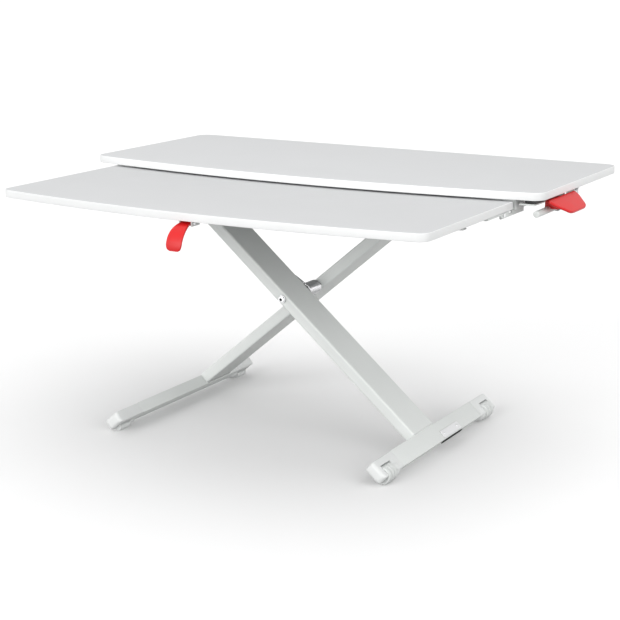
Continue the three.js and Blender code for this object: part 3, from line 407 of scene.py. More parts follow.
def stack(rings, centre, axis, closed_loop=False):
    """rings are (place along the axis, outline), both in mm; centre is in metres."""
    along = Vector(axis).normalized()
    across = along.orthogonal().normalized() if abs(along.y) < 0.9 else Vector((1, 0, 0))
    third = along.cross(across)
    bm = bmesh.new()
    levels = []
    for place_mm, outline in rings:
        level = []
        for i, radius in enumerate(outline):
            angle = i / RING * 2 * math.pi
            spoke = across * math.cos(angle) + third * math.sin(angle)
            spot = Vector(centre) + along * place_mm / 1000 + spoke * radius / 1000
            level.append(bm.verts.new(spot))
        levels.append(level)
    pairs = list(zip(levels, levels[1:]))
    if closed_loop:
        pairs.append((levels[-1], levels[0]))
    for lower, upper in pairs:
        for i in range(RING):
            j = (i + 1) % RING
            bm.faces.new([lower[i], lower[j], upper[j], upper[i]])
    if not closed_loop:
        bm.faces.new(levels[0][::-1])
        bm.faces.new(levels[-1])
    bmesh.ops.recalc_face_normals(bm, faces=bm.faces)
    mesh = bpy.data.meshes.new("rings")
    bm.to_mesh(mesh)
    bm.free()
    return mesh


def middle(node):
    low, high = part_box(node)
    return [(a + b) / 2 for a, b in zip(low, high)]


def size_mm(node):
    low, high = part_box(node)
    return [(b - a) * 1000 for a, b in zip(low, high)]


print("one ring has", RING, "corners")

# %% [markdown]
# ## Slabs and lofts
# Many small parts are flat outlines with some thickness: a slab. Its rim is rounded by
# stacking copies of the outline, each one drawn in a little more. A loft is the same
# idea along a path, with a new outline at each step. Both end in one closed skin.

# %% Slab and loft helpers
def skin(levels, name):
    """Joins outlines of equal length into one closed mesh."""
    bm = bmesh.new()
    rows = [[bm.verts.new(p) for p in level] for level in levels]
    count = len(rows[0])
    for lower, upper in zip(rows, rows[1:]):
        for i in range(count):
            j = (i + 1) % count
            bm.faces.new([lower[i], lower[j], upper[j], upper[i]])
    bm.faces.new(rows[0][::-1])
    bm.faces.new(rows[-1])
    bmesh.ops.recalc_face_normals(bm, faces=bm.faces)
    mesh = bpy.data.meshes.new(name)
    bm.to_mesh(mesh)
    bm.free()
    return mesh


def ease_corners(points, radius, steps=6):
    """Rounds each corner with a curve that reaches no further than half an edge."""
    eased = []
    for i, corner in enumerate(points):
        here, before = Vector(corner), Vector(points[i - 1])
        after = Vector(points[(i + 1) % len(points)])
        reach_in = min(radius, (before - here).length * 0.48)
        reach_out = min(radius, (after - here).length * 0.48)
        start = here + (before - here).normalized() * reach_in
        stop = here + (after - here).normalized() * reach_out
        for k in range(steps + 1):
            t = k / steps
            eased.append(start * (1 - t) ** 2 + here * 2 * t * (1 - t) + stop * t ** 2)
    return eased


def draw_in(outline, distance):
    """Moves every point of an outline towards its inside."""
    area = sum(a.x * b.y - b.x * a.y for a, b in zip(outline, outline[1:] + outline[:1]))
    turn = 1 if area > 0 else -1
    moved = []
    for i, point in enumerate(outline):
        ahead = outline[(i + 1) % len(outline)] - point
        behind = point - outline[i - 1]
        along = ahead.normalized() + behind.normalized()
        if along.length < TINY:
            along = ahead
        along.normalize()
        moved.append(point + Vector((-along.y, along.x)) * turn * distance)
    return moved


def slab(outline, w0, w1, rim, origin, u, v, steps=4):
    """outline in mm along u and v; w0 and w1 in mm along u x v; origin in metres."""
    u, v = Vector(u).normalized(), Vector(v).normalized()
    w = u.cross(v)
    angles = [k / steps * math.pi / 2 for k in range(steps + 1)]
    lower = [(w0 + rim * (1 - math.cos(angle)), rim * (1 - math.sin(angle))) for angle in angles]
    upper = [(w0 + w1 - at, inset) for at, inset in lower][::-1]
    levels = []
    for at, inset in lower + upper:
        ring = draw_in(outline, inset)
        levels.append([Vector(origin) + (u * q.x + v * q.y + w * at) / 1000 for q in ring])
    return skin(levels, "slab")


def points_2d(pairs):
    return [Vector(pair) for pair in pairs]


def rectangle(a, b):
    return points_2d([(-a, -b), (a, -b), (a, b), (-a, b)])


def carve(mesh, cutter_mesh):
    """Cuts one closed mesh out of another with the exact Boolean and returns the result."""
    scene_collection = bpy.context.scene.collection
    body = bpy.data.objects.new("carve_body", mesh)
    cutter = bpy.data.objects.new("carve_cutter", cutter_mesh)
    scene_collection.objects.link(body)
    scene_collection.objects.link(cutter)
    cut = body.modifiers.new("cut", "BOOLEAN")
    cut.operation = "DIFFERENCE"
    cut.solver = "EXACT"
    cut.object = cutter
    bpy.context.view_layer.update()
    solved = body.evaluated_get(bpy.context.evaluated_depsgraph_get())
    result = bpy.data.meshes.new_from_object(solved)
    bpy.data.objects.remove(body)
    bpy.data.objects.remove(cutter)
    return result


print("a slab's rim is rounded in", slab.__defaults__[0], "steps")

# %% [markdown]
# ## Foot end caps
# Each cap is one ABS moulding that plugs the foot bar and forks round a wheel or a
# pad. Its end is generously rounded. It is lofted as a rounded rectangle that shrinks
# towards the end, and then the wheel's slot is carved out of it, as a mould core would.

# %% End caps and wheel guards
ARM_SLOPE = math.radians(40)
CAP_HALF_WIDTH, CAP_HALF_HEIGHT = 17.0, 10.35
CAP_BODY, CAP_END_ROUND, CAP_CORNER = 64.7, 7.0, 3.2
CAP_CENTRE_INBOARD = 8.0
CAP_END_STEPS = 7
SLOT_FROM_END, SLOT_LENGTH = 12.0, 31.0
SLOT_POINTS = 40
OPEN_TOP, CLOSED_TOP = 40.0, 6.5   # the cutter's height above the axle
# The right caps fork a wheel, whose axle is 2 mm below the cap's middle. The left caps
# fork a pad, whose pin is at the middle.
AXLE_BELOW = {"left": 0.0, "right": 2.0}
SLOT_RADIUS = {"left": 17.1, "right": 17.2}
GUARD_LENGTH, GUARD_RADIUS, GUARD_OVERLAP = 17.0, 13.4, 0.5


def foot_frame(sign):
    """Down the arm and square off it; sign is 1 at the right foot and -1 at the left."""
    down_the_arm = Vector((sign * math.cos(ARM_SLOPE), 0, -math.sin(ARM_SLOPE)))
    off_the_arm = Vector((sign * math.sin(ARM_SLOPE), 0, math.cos(ARM_SLOPE)))
    return down_the_arm, off_the_arm


def cap_mesh(axle, sign, y_end, inward, axle_below, slot_radius, top):
    along, off = foot_frame(sign)
    centre = Vector(axle) - along * CAP_CENTRE_INBOARD / 1000 + off * axle_below / 1000
    levels = []
    angles = [k / CAP_END_STEPS * math.pi / 2 for k in range(CAP_END_STEPS + 1)]
    for distance in [CAP_END_ROUND * (1 - math.cos(angle)) for angle in angles] + [CAP_BODY]:
        rest = max(CAP_END_ROUND - distance, 0)
        inset = CAP_END_ROUND - math.sqrt(CAP_END_ROUND ** 2 - rest ** 2)
        a, b = CAP_HALF_WIDTH - inset, CAP_HALF_HEIGHT - inset * 0.8
        ring = ease_corners(rectangle(a, b), CAP_CORNER + 1.5 * inset / 2)
        y = y_end + inward * distance / 1000
        middle_point = Vector((centre.x, y, centre.z))
        levels.append([middle_point + (along * q.x + off * q.y) / 1000 for q in ring])
    body = skin(levels, "cap")
    turns_of_slot = [t / SLOT_POINTS * 2 * math.pi for t in range(SLOT_POINTS)]
    sweep = points_2d([(slot_radius * math.cos(a), min(slot_radius * math.sin(a), top))
                       for a in turns_of_slot])
    y_slot = y_end + inward * (SLOT_FROM_END + SLOT_LENGTH / 2) / 1000
    half = SLOT_LENGTH / 2
    cutter = slab(sweep, -half, half, 0.3, (axle[0], y_slot, axle[2]), along, off, 1)
    return carve(body, cutter)


def guard_rings():
    """A dish beside the slot: square at the wheel, and faired away at its inner end."""
    half = GUARD_LENGTH / 2
    return [(-half, circle(GUARD_RADIUS - 2)), (-half + 0.6, circle(GUARD_RADIUS - 0.6)),
            (-half + 2, circle(GUARD_RADIUS)), (half * 0.2, circle(GUARD_RADIUS)),
            (half * 0.7, circle(GUARD_RADIUS - 1.5)), (half, circle(GUARD_RADIUS - 5))]


for side, sign in (("left", -1), ("right", 1)):
    for end, inward in (("front", 1), ("rear", -1)):
        node = f"foot_cap_{side}_{end}"
        low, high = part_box(node)
        y_end = low[1] if end == "front" else high[1]
        carried = f"wheel_{end}" if side == "right" else f"pad_pin_{end}"
        axle = middle(carried)
        top = OPEN_TOP if side == "right" else CLOSED_TOP
        mesh = cap_mesh(axle, sign, y_end, inward, AXLE_BELOW[side], SLOT_RADIUS[side], top)
        place_piece(mesh, f"end_cap_{side}_{end}", moulded_abs, BODY_OF[node], [node])
        mark_sharp(mesh, math.radians(35))
        slot_end = SLOT_FROM_END + SLOT_LENGTH
        y_guard = y_end + inward * (slot_end + GUARD_LENGTH / 2 - GUARD_OVERLAP) / 1000
        guard = stack(guard_rings(), (axle[0], y_guard, axle[2]), (0, inward, 0))
        place_piece(guard, f"wheel_guard_{side}_{end}", moulded_abs, BODY_OF[node])
        mark_sharp(guard, math.radians(50))
print("four end caps with guards")

# %% [markdown]
# ## Pads
# The left foot stands on two pads that rock on their pins, so the sole stays flat as
# the arm swings. The sole is flat, and the crown above it is small enough to turn
# inside the cap.

# %% Pads
PAD_WIDTH, PAD_RIM, PAD_CROWN = 29.0, 1.0, 6.0
pad_outline = [(-9, -15), (9, -15), (12, -12.6), (13.6, -9.4), (13.2, -5), (PAD_CROWN, 0)]
crown_angles = [math.radians(a) for a in range(15, 180, 15)]
pad_outline += [(PAD_CROWN * math.cos(a), PAD_CROWN * math.sin(a)) for a in crown_angles]
pad_outline += [(-PAD_CROWN, 0), (-11.8, -5), (-12, -11.6)]
for end in ("front", "rear"):
    node = "pad_" + end
    mesh = slab(points_2d(pad_outline[::-1]), -PAD_WIDTH / 2, PAD_WIDTH / 2, PAD_RIM,
                middle("pad_pin_" + end), (1, 0, 0), (0, 0, 1))
    place_piece(mesh, "rocking_" + node, moulded_wheel, BODY_OF[node], [node])
    mark_sharp(mesh, math.radians(35))
print("pads are", PAD_WIDTH, "mm wide")

# %% [markdown]
# ## The release paddle
# The paddle is a thick red ABS tongue on a saddle that grips the shaft. It droops
# outwards, where fingers hook under it and pull it up. Its outline is cut back at the
# front, and its rim is rounded all round.

# %% Release paddle
PADDLE_DROOP = math.radians(29)
PADDLE_REACH, PADDLE_THICK, PADDLE_LENGTH = 40.0, 5.0, 116.0
TONGUE_CORNER, TONGUE_RIM = 7, 2.0
low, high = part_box("release_paddle")
root = Vector((high[0] - PADDLE_REACH * math.cos(PADDLE_DROOP) / 1000, low[1], high[2]))
outwards = (math.cos(PADDLE_DROOP), 0, -math.sin(PADDLE_DROOP))
tip_front, tip_rear = 18.0, PADDLE_LENGTH - 28.0
tongue = [(0, 0), (10, 2), (20, 8), (30, 15.5)]
tongue += [(PADDLE_REACH - 2, tip_front + 2), (PADDLE_REACH, tip_front + 12)]
tongue += [(PADDLE_REACH, tip_rear - 8), (PADDLE_REACH - 4, tip_rear + 3)]
tongue += [(12, PADDLE_LENGTH - 4), (0, PADDLE_LENGTH)]
mesh = slab(ease_corners(points_2d(tongue), TONGUE_CORNER), -PADDLE_THICK, 0, TONGUE_RIM,
            root, outwards, (0, 1, 0), 6)
place_piece(mesh, "paddle_tongue", red_abs, "release_lever", ["release_paddle"])
mark_sharp(mesh, math.radians(60))

SADDLE_START, SADDLE_LENGTH, SHAFT_CLEAR = 28.0, 36.0, 5.8
SADDLE_OUT, SADDLE_SLOPE_DROP, SADDLE_RIM = 7, 4.2, 0.6
shaft_axis = middle("release_shaft")
right_side = (root.x - shaft_axis[0]) * 1000 + SADDLE_OUT
top_side = (root.z - shaft_axis[2]) * 1000 - PADDLE_THICK + 2
# The saddle's top slopes down with the tongue, and its underside is a hollow for the shaft.
saddle = [(-5, 3), (-5, top_side), (right_side - SADDLE_OUT, top_side)]
saddle += [(right_side, top_side - SADDLE_SLOPE_DROP), (right_side, 2)]
hollow_angles = [math.radians(a) for a in range(22, 150, 8)]
saddle += [(SHAFT_CLEAR * math.cos(a), SHAFT_CLEAR * math.sin(a)) for a in hollow_angles]
y_saddle = root.y + (SADDLE_START + SADDLE_LENGTH / 2) / 1000
mesh = slab(points_2d(saddle), -SADDLE_LENGTH / 2, SADDLE_LENGTH / 2, SADDLE_RIM,
            (shaft_axis[0], y_saddle, shaft_axis[2]), (1, 0, 0), (0, 0, 1))
place_piece(mesh, "paddle_saddle", red_abs, "release_lever")
mark_sharp(mesh, math.radians(35))
print("paddle reaches", PADDLE_REACH, "mm")

# %% [markdown]
# ## The tilt lever
# The front lever is a curved red blade. It is lofted along its bend: a narrow strip at
# the pin that widens to a rounded finger tip.

# %% Tilt lever
LEVER_ROOT, LEVER_WIDE, LEVER_THICK = 9.5, 14.5, 2.5
LEVER_REACH, LEVER_FALL = 38.0, 38.5
TIP_NARROWING, TIP_SHARE, LEVER_TAPER = 6.5, 5.0, 0.25
WIDENS_FROM, WIDENS_OVER = 0.12, 0.6
lever_pin = Vector(middle("tilt_lever_pin"))
# Four control points: out from the pin, over the bend and down to the finger tip.
controls = points_2d([(0, 0), (-LEVER_REACH * 0.53, -LEVER_FALL * 0.05),
                      (-LEVER_REACH, -LEVER_FALL * 0.42), (-LEVER_REACH * 0.98, -LEVER_FALL)])


def on_bend(t):
    a, b, c, d = controls
    return a * (1 - t) ** 3 + b * 3 * t * (1 - t) ** 2 + c * 3 * t * t * (1 - t) + d * t ** 3


levels = []
LEVER_STEPS = 30
for k in range(LEVER_STEPS + 1):
    t = k / LEVER_STEPS
    here = on_bend(t)
    along = (on_bend(min(t + 0.01, 1)) - on_bend(max(t - 0.01, 0))).normalized()
    widen = min(max((t - WIDENS_FROM) / WIDENS_OVER, 0), 1)
    width = LEVER_ROOT + (LEVER_WIDE - LEVER_ROOT) * widen * (2 - widen)
    thick = LEVER_THICK * (1 - LEVER_TAPER * t)
    left = (1 - t) * LEVER_STEPS / TIP_SHARE
    if left < 1:
        rounding = math.sqrt(max(1 - (1 - left) ** 2, 0.0))
        width = width - TIP_NARROWING * (1 - rounding)
        thick = thick * (0.45 + 0.55 * rounding)
    ring = ease_corners(rectangle(width, thick), thick * 0.95)
    across = Vector((0, -along.y, along.x))
    levels.append([lever_pin + Vector((q.x, here.x, here.y)) / 1000 + across * q.y / 1000
                   for q in ring])
mesh = skin(levels, "lever")
place_piece(mesh, "lever_blade", red_abs, "tilt_lever", ["tilt_lever"])
mark_sharp(mesh, math.radians(60))
BARREL_HALF, BARREL_RADIUS, BARREL_BORE, BARREL_EASE = 9.5, 4, 2.2, 0.4
barrel_rings = [(-BARREL_HALF, circle(BARREL_BORE)), (-BARREL_HALF, circle(BARREL_RADIUS - BARREL_EASE)),
                (-BARREL_HALF + BARREL_EASE, circle(BARREL_RADIUS)),
                (BARREL_HALF - BARREL_EASE, circle(BARREL_RADIUS)),
                (BARREL_HALF, circle(BARREL_RADIUS - BARREL_EASE)), (BARREL_HALF, circle(BARREL_BORE))]
barrel = stack(barrel_rings, lever_pin, (1, 0, 0), closed_loop=True)
place_piece(barrel, "lever_barrel", red_abs, "tilt_lever")
mark_sharp(barrel, math.radians(40))
print("lever blade has", LEVER_STEPS, "steps")

# %% [markdown]
# ## Rail plugs
# The open ends of the rails are closed with push-in plugs. Only the plug's flange shows,
# so a thin rounded slab over the tube's end is enough.

# %% Rail plugs
PLUG_SHY, PLUG_HALF, PLUG_CORNER, PLUG_RIM = 0.1, 0.6, 2.2, 0.5
for rail in ("front", "rear"):
    low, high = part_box("rail_" + rail)
    for end, x, out in (("left", low[0], -1), ("right", high[0], 1)):
        half_wide, half_high = (high[1] - low[1]) * 500 - PLUG_SHY, (high[2] - low[2]) * 500 - PLUG_SHY
        outline = ease_corners(rectangle(half_wide, half_high), PLUG_CORNER)
        centre = (x + out * PLUG_HALF / 1000, (low[1] + high[1]) / 2, (low[2] + high[2]) / 2)
        mesh = slab(outline, -PLUG_HALF, PLUG_HALF, PLUG_RIM, centre, (0, 1, 0), (0, 0, 1))
        place_piece(mesh, f"rail_plug_{rail}_{end}", moulded_abs, "platform")
        mark_sharp(mesh, math.radians(50))
print("plugs are", round(half_wide * 2, 1), "by", round(half_high * 2, 1), "mm")

# %% [markdown]
# ## Wheels
# Each wheel is moulded acetal with a flat tread, two water-shedding grooves and a
# rounded shoulder. The bore runs on the pin.

# %% Wheels
GROOVE_HALF, GROOVE_DEPTH, WHEEL_BORE = 1.6, 2.4, 3.3


def wheel_rings(width, radius, bore):
    half = width / 2
    floor_half = GROOVE_HALF * 0.6
    # Hub, recessed web, rim and shoulder, from the bore outwards.
    rings = [(-half, circle(bore)), (-half, circle(bore + 2.5)), (-half + 0.8, circle(bore + 3.2)),
             (-half + 0.8, circle(radius - 3.4)), (-half, circle(radius - 2.8)),
             (-half, circle(radius - 1.6)), (-half + 0.5, circle(radius - 0.5)),
             (-half + 1.6, circle(radius))]
    for centre_of_groove in (-width / 6, width / 6):
        rings += [(centre_of_groove - GROOVE_HALF - 0.3, circle(radius)),
                  (centre_of_groove - GROOVE_HALF, circle(radius - 0.3)),
                  (centre_of_groove - floor_half, circle(radius - GROOVE_DEPTH)),
                  (centre_of_groove + floor_half, circle(radius - GROOVE_DEPTH)),
                  (centre_of_groove + GROOVE_HALF, circle(radius - 0.3)),
                  (centre_of_groove + GROOVE_HALF + 0.3, circle(radius))]
    one_side = rings[:8]
    mirrored = [(-place_mm, outline) for place_mm, outline in one_side][::-1]
    return rings + mirrored


for end in ("front", "rear"):
    node = "wheel_" + end
    width, radius = size_mm(node)[1], size_mm(node)[2] / 2
    mesh = stack(wheel_rings(width, radius, WHEEL_BORE), middle(node), (0, 1, 0), closed_loop=True)
    place_piece(mesh, "grooved_" + node, moulded_wheel, BODY_OF[node], [node])
    mark_sharp(mesh, math.radians(40))
    print(node, "is", round(width, 1), "mm wide and", round(2 * radius, 1), "mm across")

# %% [markdown]
# ## Track rollers
# The rollers at the top of the rear arm are turned black nylon with a shallow crown, so
# they carry on the middle of their tread and don't scrub at the edges.

# %% Track rollers
ROLLER_BORE, CROWN_FALL = 6.3, 0.05
for end in ("front", "rear"):
    node = "track_roller_" + end
    width, radius = size_mm(node)[1], size_mm(node)[2] / 2
    half = width / 2
    rings = [(-half, circle(ROLLER_BORE)), (-half, circle(radius - 0.8)),
             (-half + 0.3, circle(radius - 0.3)), (-half + 1.0, circle(radius - CROWN_FALL)),
             (0, circle(radius)), (half - 1.0, circle(radius - CROWN_FALL)),
             (half - 0.3, circle(radius - 0.3)), (half, circle(radius - 0.8)),
             (half, circle(ROLLER_BORE))]
    mesh = stack(rings, middle(node), (0, 1, 0), closed_loop=True)
    place_piece(mesh, "turned_" + node, black_nylon, BODY_OF[node], [node])
    mark_sharp(mesh, math.radians(40))
    print(node, "is", round(2 * radius, 1), "mm across")

# %% [markdown]
# ## The pivot bolt and nut
# The bolt is a socket cap screw: a turned head with a chamfer and a deep hexagon for
# the key. The nut is a hexagon whose corners are turned away at both ends.

# %% Pivot bolt and nut
SOCKET_MOUTH, SOCKET_WALL, SOCKET_END, SOCKET_SHADE_FLAT = 2.6, 2.5, 2.45, 2.42
NUT_COLLAR = 0.94
_, length, head = size_mm("pivot_bolt")
half, radius = length / 2, head / 2
bolt_rings = [(half, circle(radius - 0.4)), (half - 0.3, circle(radius)),
              (-half + 0.8, circle(radius)), (-half + 0.2, circle(radius - 0.5)),
              (-half, circle(radius - 1.0)), (-half, hexagon(SOCKET_MOUTH)),
              (-half + 0.1, hexagon(SOCKET_WALL)), (half - 0.4, hexagon(SOCKET_END))]
mesh = stack(bolt_rings, middle("pivot_bolt"), (0, 1, 0))
place_piece(mesh, "pivot_cap_screw", zinc, BODY_OF["pivot_bolt"], ["pivot_bolt"])
mark_sharp(mesh, math.radians(35))

# A thin dark disc over the socket's floor is painted shade for the bottom of the deep hexagon.
socket_end = Vector(middle("pivot_bolt")) + Vector((0, (half - 0.7) / 1000, 0))
socket_shade_disc = stack([(0, hexagon(SOCKET_SHADE_FLAT)), (0.2, hexagon(SOCKET_SHADE_FLAT))], socket_end, (0, 1, 0))
place_piece(socket_shade_disc, "pivot_socket_painted_shade", socket_shade_metal, BODY_OF["pivot_bolt"])

_, length, nut = size_mm("pivot_nut")
half, flat = length / 2, nut / 2 * NUT_COLLAR
nut_rings = [(-half, hexagon(flat, flat * 1.02)), (-half + 1.0, hexagon(flat, flat * 1.12)),
             (half - 2.4, hexagon(flat, flat * 1.12)), (half - 1.9, hexagon(flat, flat * 1.0)),
             (half - 1.6, circle(flat * 0.86)), (half - 0.4, circle(flat * 0.84)),
             (half, circle(flat * 0.76)), (half, circle(5.0)), (half - 1.0, circle(4.6))]
mesh = stack(nut_rings, middle("pivot_nut"), (0, 1, 0))
place_piece(mesh, "pivot_locking_nut", zinc, BODY_OF["pivot_nut"], ["pivot_nut"])
mark_sharp(mesh, math.radians(30))
print("bolt head", round(head, 1), "mm, nut", round(nut, 1), "mm")

# %% [markdown]
# ## Springs
# A wire is swept along its path: at each step a circle is set square to the path. A
# coil is such a path too, a circle that creeps along its axis. A swept mesh keeps the
# wire's thickness even, where a scaled screw would flatten it.

# %% Wire sweep
def wire(path, radius_mm, sides=12):
    points = [Vector(p) for p in path]
    bm = bmesh.new()
    levels = []
    reference = Vector((0, 1, 0))
    for i, point in enumerate(points):
        ahead = points[min(i + 1, len(points) - 1)] - points[max(i - 1, 0)]
        ahead.normalize()
        across = reference - ahead * reference.dot(ahead)
        if across.length < 0.2:
            across = Vector((1, 0, 0)) - ahead * ahead.x
        across.normalize()
        third = ahead.cross(across)
        end = i in (0, len(points) - 1)
        size = radius_mm / 1000 * (0.6 if end else 1.0)
        level = []
        for k in range(sides):
            angle = k / sides * 2 * math.pi
            spoke = across * math.cos(angle) + third * math.sin(angle)
            level.append(bm.verts.new(point + spoke * size))
        levels.append(level)
    for lower, upper in zip(levels, levels[1:]):
        for k in range(sides):
            m = (k + 1) % sides
            bm.faces.new([lower[k], lower[m], upper[m], upper[k]])
    bm.faces.new(levels[0][::-1])
    bm.faces.new(levels[-1])
    bmesh.ops.recalc_face_normals(bm, faces=bm.faces)
    mesh = bpy.data.meshes.new("wire")
    bm.to_mesh(mesh)
    bm.free()
    return mesh


def coil_path(centre, radius_mm, y0, y1, turns, steps=36):
    path = []
    count = int(turns * steps)
    for i in range(count + 1):
        t = i / count
        angle = t * turns * 2 * math.pi
        path.append((centre[0] + radius_mm / 1000 * math.cos(angle), y0 + (y1 - y0) * t,
                     centre[2] + radius_mm / 1000 * math.sin(angle)))
    return path


print("a coil has", coil_path.__defaults__[0], "steps to a turn")

# %% [markdown]
# ## The lift spring and the return spring
# The lift spring is close wound from 3.2 mm wire round the pivot, and its near end runs
# up the arm, where the arm holds it. The return spring on the paddle's shaft is thin,
# with a little more air between its turns.

# %% Lift spring and return spring
SPRING_WIRE, SPRING_GAP = 3.2, 0.15
low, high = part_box("lift_spring")
spring_centre = middle("lift_spring")
outer = (high[0] - low[0]) / 2 * 1000
spring_y0, spring_y1 = low[1] + SPRING_WIRE / 2000, high[1] - SPRING_WIRE / 2000
turns = (spring_y1 - spring_y0) * 1000 / (SPRING_WIRE + SPRING_GAP)
winding = outer - SPRING_WIRE / 2
coil = wire(coil_path(spring_centre, winding, spring_y0, spring_y1, turns), SPRING_WIRE / 2)
place_piece(coil, "lift_spring_coil", spring_wire, "rear_arm", ["lift_spring"])
print("lift spring", round(turns, 1), "turns of", SPRING_WIRE, "mm wire")

down_the_arm, off_the_arm = foot_frame(1)
leg_start = Vector((spring_centre[0], spring_y0, spring_centre[2])) + off_the_arm * winding / 1000
leg = []
LEG_LENGTH, LEG_DIP, LEG_STEP = 34, 5.5, 2
for step in range(-LEG_STEP, LEG_LENGTH, LEG_STEP):
    dip = off_the_arm * LEG_DIP / 1000 * max(step / LEG_LENGTH, 0)
    leg.append(leg_start - down_the_arm * step / 1000 - dip)
place_piece(wire(leg, SPRING_WIRE / 2), "lift_spring_leg", spring_wire, "front_arm")

RETURN_WIRE, RETURN_GAP = 1.4, 0.5
low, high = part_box("release_spring")
outer = (high[0] - low[0]) / 2 * 1000
y0, y1 = low[1] + RETURN_WIRE / 2000, high[1] - RETURN_WIRE / 2000
turns = (y1 - y0) * 1000 / (RETURN_WIRE + RETURN_GAP)
return_path = coil_path(middle("release_spring"), outer - RETURN_WIRE / 2, y0, y1, turns)
coil = wire(return_path, RETURN_WIRE / 2, 10)
place_piece(coil, "return_spring_coil", spring_wire, "release_lever", ["release_spring"])

# %% [markdown]
# ## Weld beads
# Each arm is welded to its foot bar, and the bead shows as a thin ridge under the
# paint. It is one more swept wire, laid round the arm's end and painted like the arm.

# %% Weld beads
BEAD_RADIUS, BEAD_CORNER = 1.2, 3.5
ARM_END_ABOVE_AXLE, ARM_HALF_THICK = 25.6, 10.35
for arm, sign, side, carried in (("arm_front", 1, "right", "wheel_front"),
                                 ("arm_rear", -1, "left", "pad_pin_front")):
    along, off = foot_frame(sign)
    axle = Vector(middle(carried))
    low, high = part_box(arm)
    end = Vector((axle.x, 0, axle.z)) - along * ARM_END_ABOVE_AXLE / 1000
    end += off * AXLE_BELOW[side] / 1000
    y0, y1 = low[1] * 1000, high[1] * 1000
    corners = points_2d([(y0, -ARM_HALF_THICK), (y1, -ARM_HALF_THICK), (y1, ARM_HALF_THICK),
                         (y0, ARM_HALF_THICK)])
    corners = ease_corners(corners, BEAD_CORNER)
    path = [Vector((end.x, q.x / 1000, end.z)) + off * q.y / 1000 for q in corners]
    path.append(path[0] + (path[1] - path[0]) * 0.5)
    bead = wire(path, BEAD_RADIUS, 8)
    place_piece(bead, "weld_bead_" + arm, powder_coat, BODY_OF[arm])
print("two weld beads")

# %% [markdown]
# ## Screws
# Pan head screws hold the rails to the board and the anchor plate to its foot. Each
# head is a low dome with a cross recess, so it is another ring stack, with the cross as
# its inner outline.

# %% Screws
RAIL_SCREW_RADIUS, ANCHOR_SCREW_RADIUS = 3.6, 2.2


def pan_screw(name, at, axis, radius, body):
    height = radius * 0.55
    arm, width = radius * 0.55, radius * 0.17
    # The wall, three steps of dome, and a cross recess that narrows on its way down.
    rings = [(0, circle(radius)), (height * 0.35, circle(radius)),
             (height * 0.7, circle(radius * 0.9)), (height * 0.93, circle(radius * 0.72)),
             (height, circle(radius * 0.6)), (height, cross(arm, width)),
             (height * 0.35, cross(arm * 0.8, width * 0.8))]
    mesh = stack(rings, at, axis)
    place_piece(mesh, name, zinc, body)
    mark_sharp(mesh, math.radians(35))


DOWN = (0, 0, -1)
SCREWS_PER_RAIL, SCREW_FROM_END, SCREW_PAIR = 6, 0.03, 0.012
# The outer screws of the front rail move in, clear of the brackets at its ends.
BRACKET_CLEAR = 0.045
for rail in ("front", "rear"):
    low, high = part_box("rail_" + rail)
    for i in range(SCREWS_PER_RAIL):
        span = high[0] - low[0] - 2 * SCREW_FROM_END
        x = low[0] + SCREW_FROM_END + span * i / (SCREWS_PER_RAIL - 1)
        if rail == "front" and i in (0, SCREWS_PER_RAIL - 1):
            x += BRACKET_CLEAR if i == 0 else -BRACKET_CLEAR
        for letter, offset in (("a", -SCREW_PAIR), ("b", SCREW_PAIR)):
            at = (x, (low[1] + high[1]) / 2 + offset, low[2])
            pan_screw(f"rail_{rail}_screw_{i}_{letter}", at, DOWN, RAIL_SCREW_RADIUS, "platform")

PLATE_HALF, SCREW_FROM_PLATE_END = 0.0007, 0.008
low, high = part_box("anchor_plate")
plate_middle = Vector(middle("anchor_plate"))
for i, y in enumerate((low[1] + SCREW_FROM_PLATE_END, high[1] - SCREW_FROM_PLATE_END)):
    at = Vector((plate_middle.x, y, plate_middle.z)) + off_the_arm * PLATE_HALF
    pan_screw(f"anchor_screw_{i}", at, off_the_arm, ANCHOR_SCREW_RADIUS, "front_arm")
print(SCREWS_PER_RAIL * 4 + 2, "screws placed")

# %% [markdown]
# ## The studio
# A pale floor and large soft lights. The key light stands in front and to the left,
# so faces that look forward are the brightest and undersides stay in soft shade. A
# sun's angle says how wide it looks: at 40 degrees and more its shadows are soft.

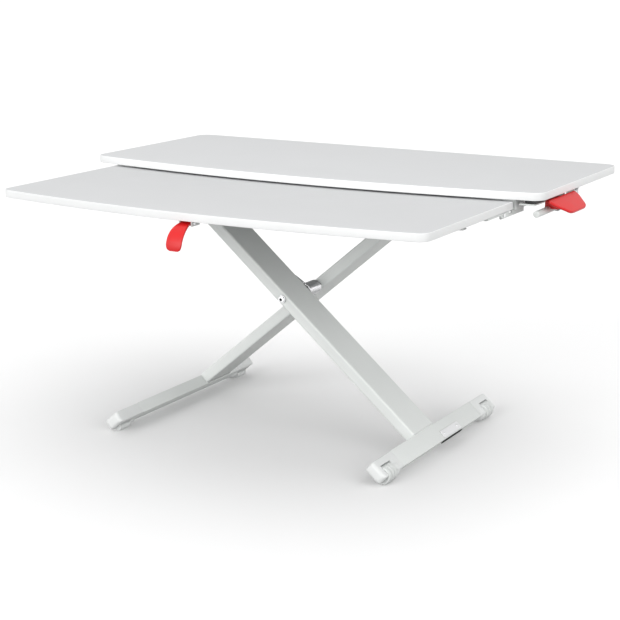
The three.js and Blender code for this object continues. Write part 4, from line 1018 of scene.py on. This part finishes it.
# %% Floor and lights
floor_mesh = bpy.data.meshes.new("studio_floor")
REACH, FLOOR_BELOW = 30.0, 0.0003
floor_corners = [(-REACH, -REACH, 0), (REACH, -REACH, 0), (REACH, REACH, 0), (-REACH, REACH, 0)]
floor_mesh.from_pydata(floor_corners, [], [(0, 1, 2, 3)])
floor = bpy.data.objects.new("studio_floor", floor_mesh)
bpy.context.scene.collection.objects.link(floor)
floor.location.z = -FLOOR_BELOW
floor_finish = grained_finish("painted_studio_floor", "#F4F4F4", "#F1F1F1", 400, 3, 0.01, 0.7)
floor_mesh.materials.append(floor_finish)

# The floor is lit but throws no light back up, like a floor that falls away below
# the set. The sky is bright above the horizon and dim below it, so that undersides
# keep their shade.
floor.visible_diffuse = False
world = bpy.data.worlds.new("studio_sky")
world.use_nodes = True
sky = world.node_tree
direction = add_node(sky, "ShaderNodeTexCoord").outputs["Generated"]
height = add_node(sky, "ShaderNodeSeparateXYZ", {}, {0: direction}).outputs["Z"]
DIM_BELOW, BRIGHT_ABOVE, DIM_SKY, BRIGHT_SKY = -0.35, -0.02, 0.28, 0.86
strength = add_node(sky, "ShaderNodeMapRange",
                    {1: DIM_BELOW, 2: BRIGHT_ABOVE, 3: DIM_SKY, 4: BRIGHT_SKY}, {0: height})
sky.links.new(strength.outputs[0], sky.nodes["Background"].inputs["Strength"])
sky.nodes["Background"].inputs["Color"].default_value = linear("#FFFFFF")
bpy.context.scene.world = world


def soft_sun(name, towards, strength, spread):
    data = bpy.data.lights.new(name, "SUN")
    data.energy = strength
    data.angle = math.radians(spread)
    light = bpy.data.objects.new(name, data)
    bpy.context.scene.collection.objects.link(light)
    light.rotation_euler = Vector(towards).to_track_quat("Z", "Y").to_euler()


soft_sun("key_light", (-0.2, -0.93, 0.28), 1.55, 40)
soft_sun("top_light", (0.15, 0.10, 1.0), 0.55, 60)
soft_sun("side_light", (0.95, -0.28, 0.30), 0.9, 50)
# The plain view transform keeps each finish close to the colour its hex code names.
bpy.context.scene.view_settings.view_transform = "Standard"
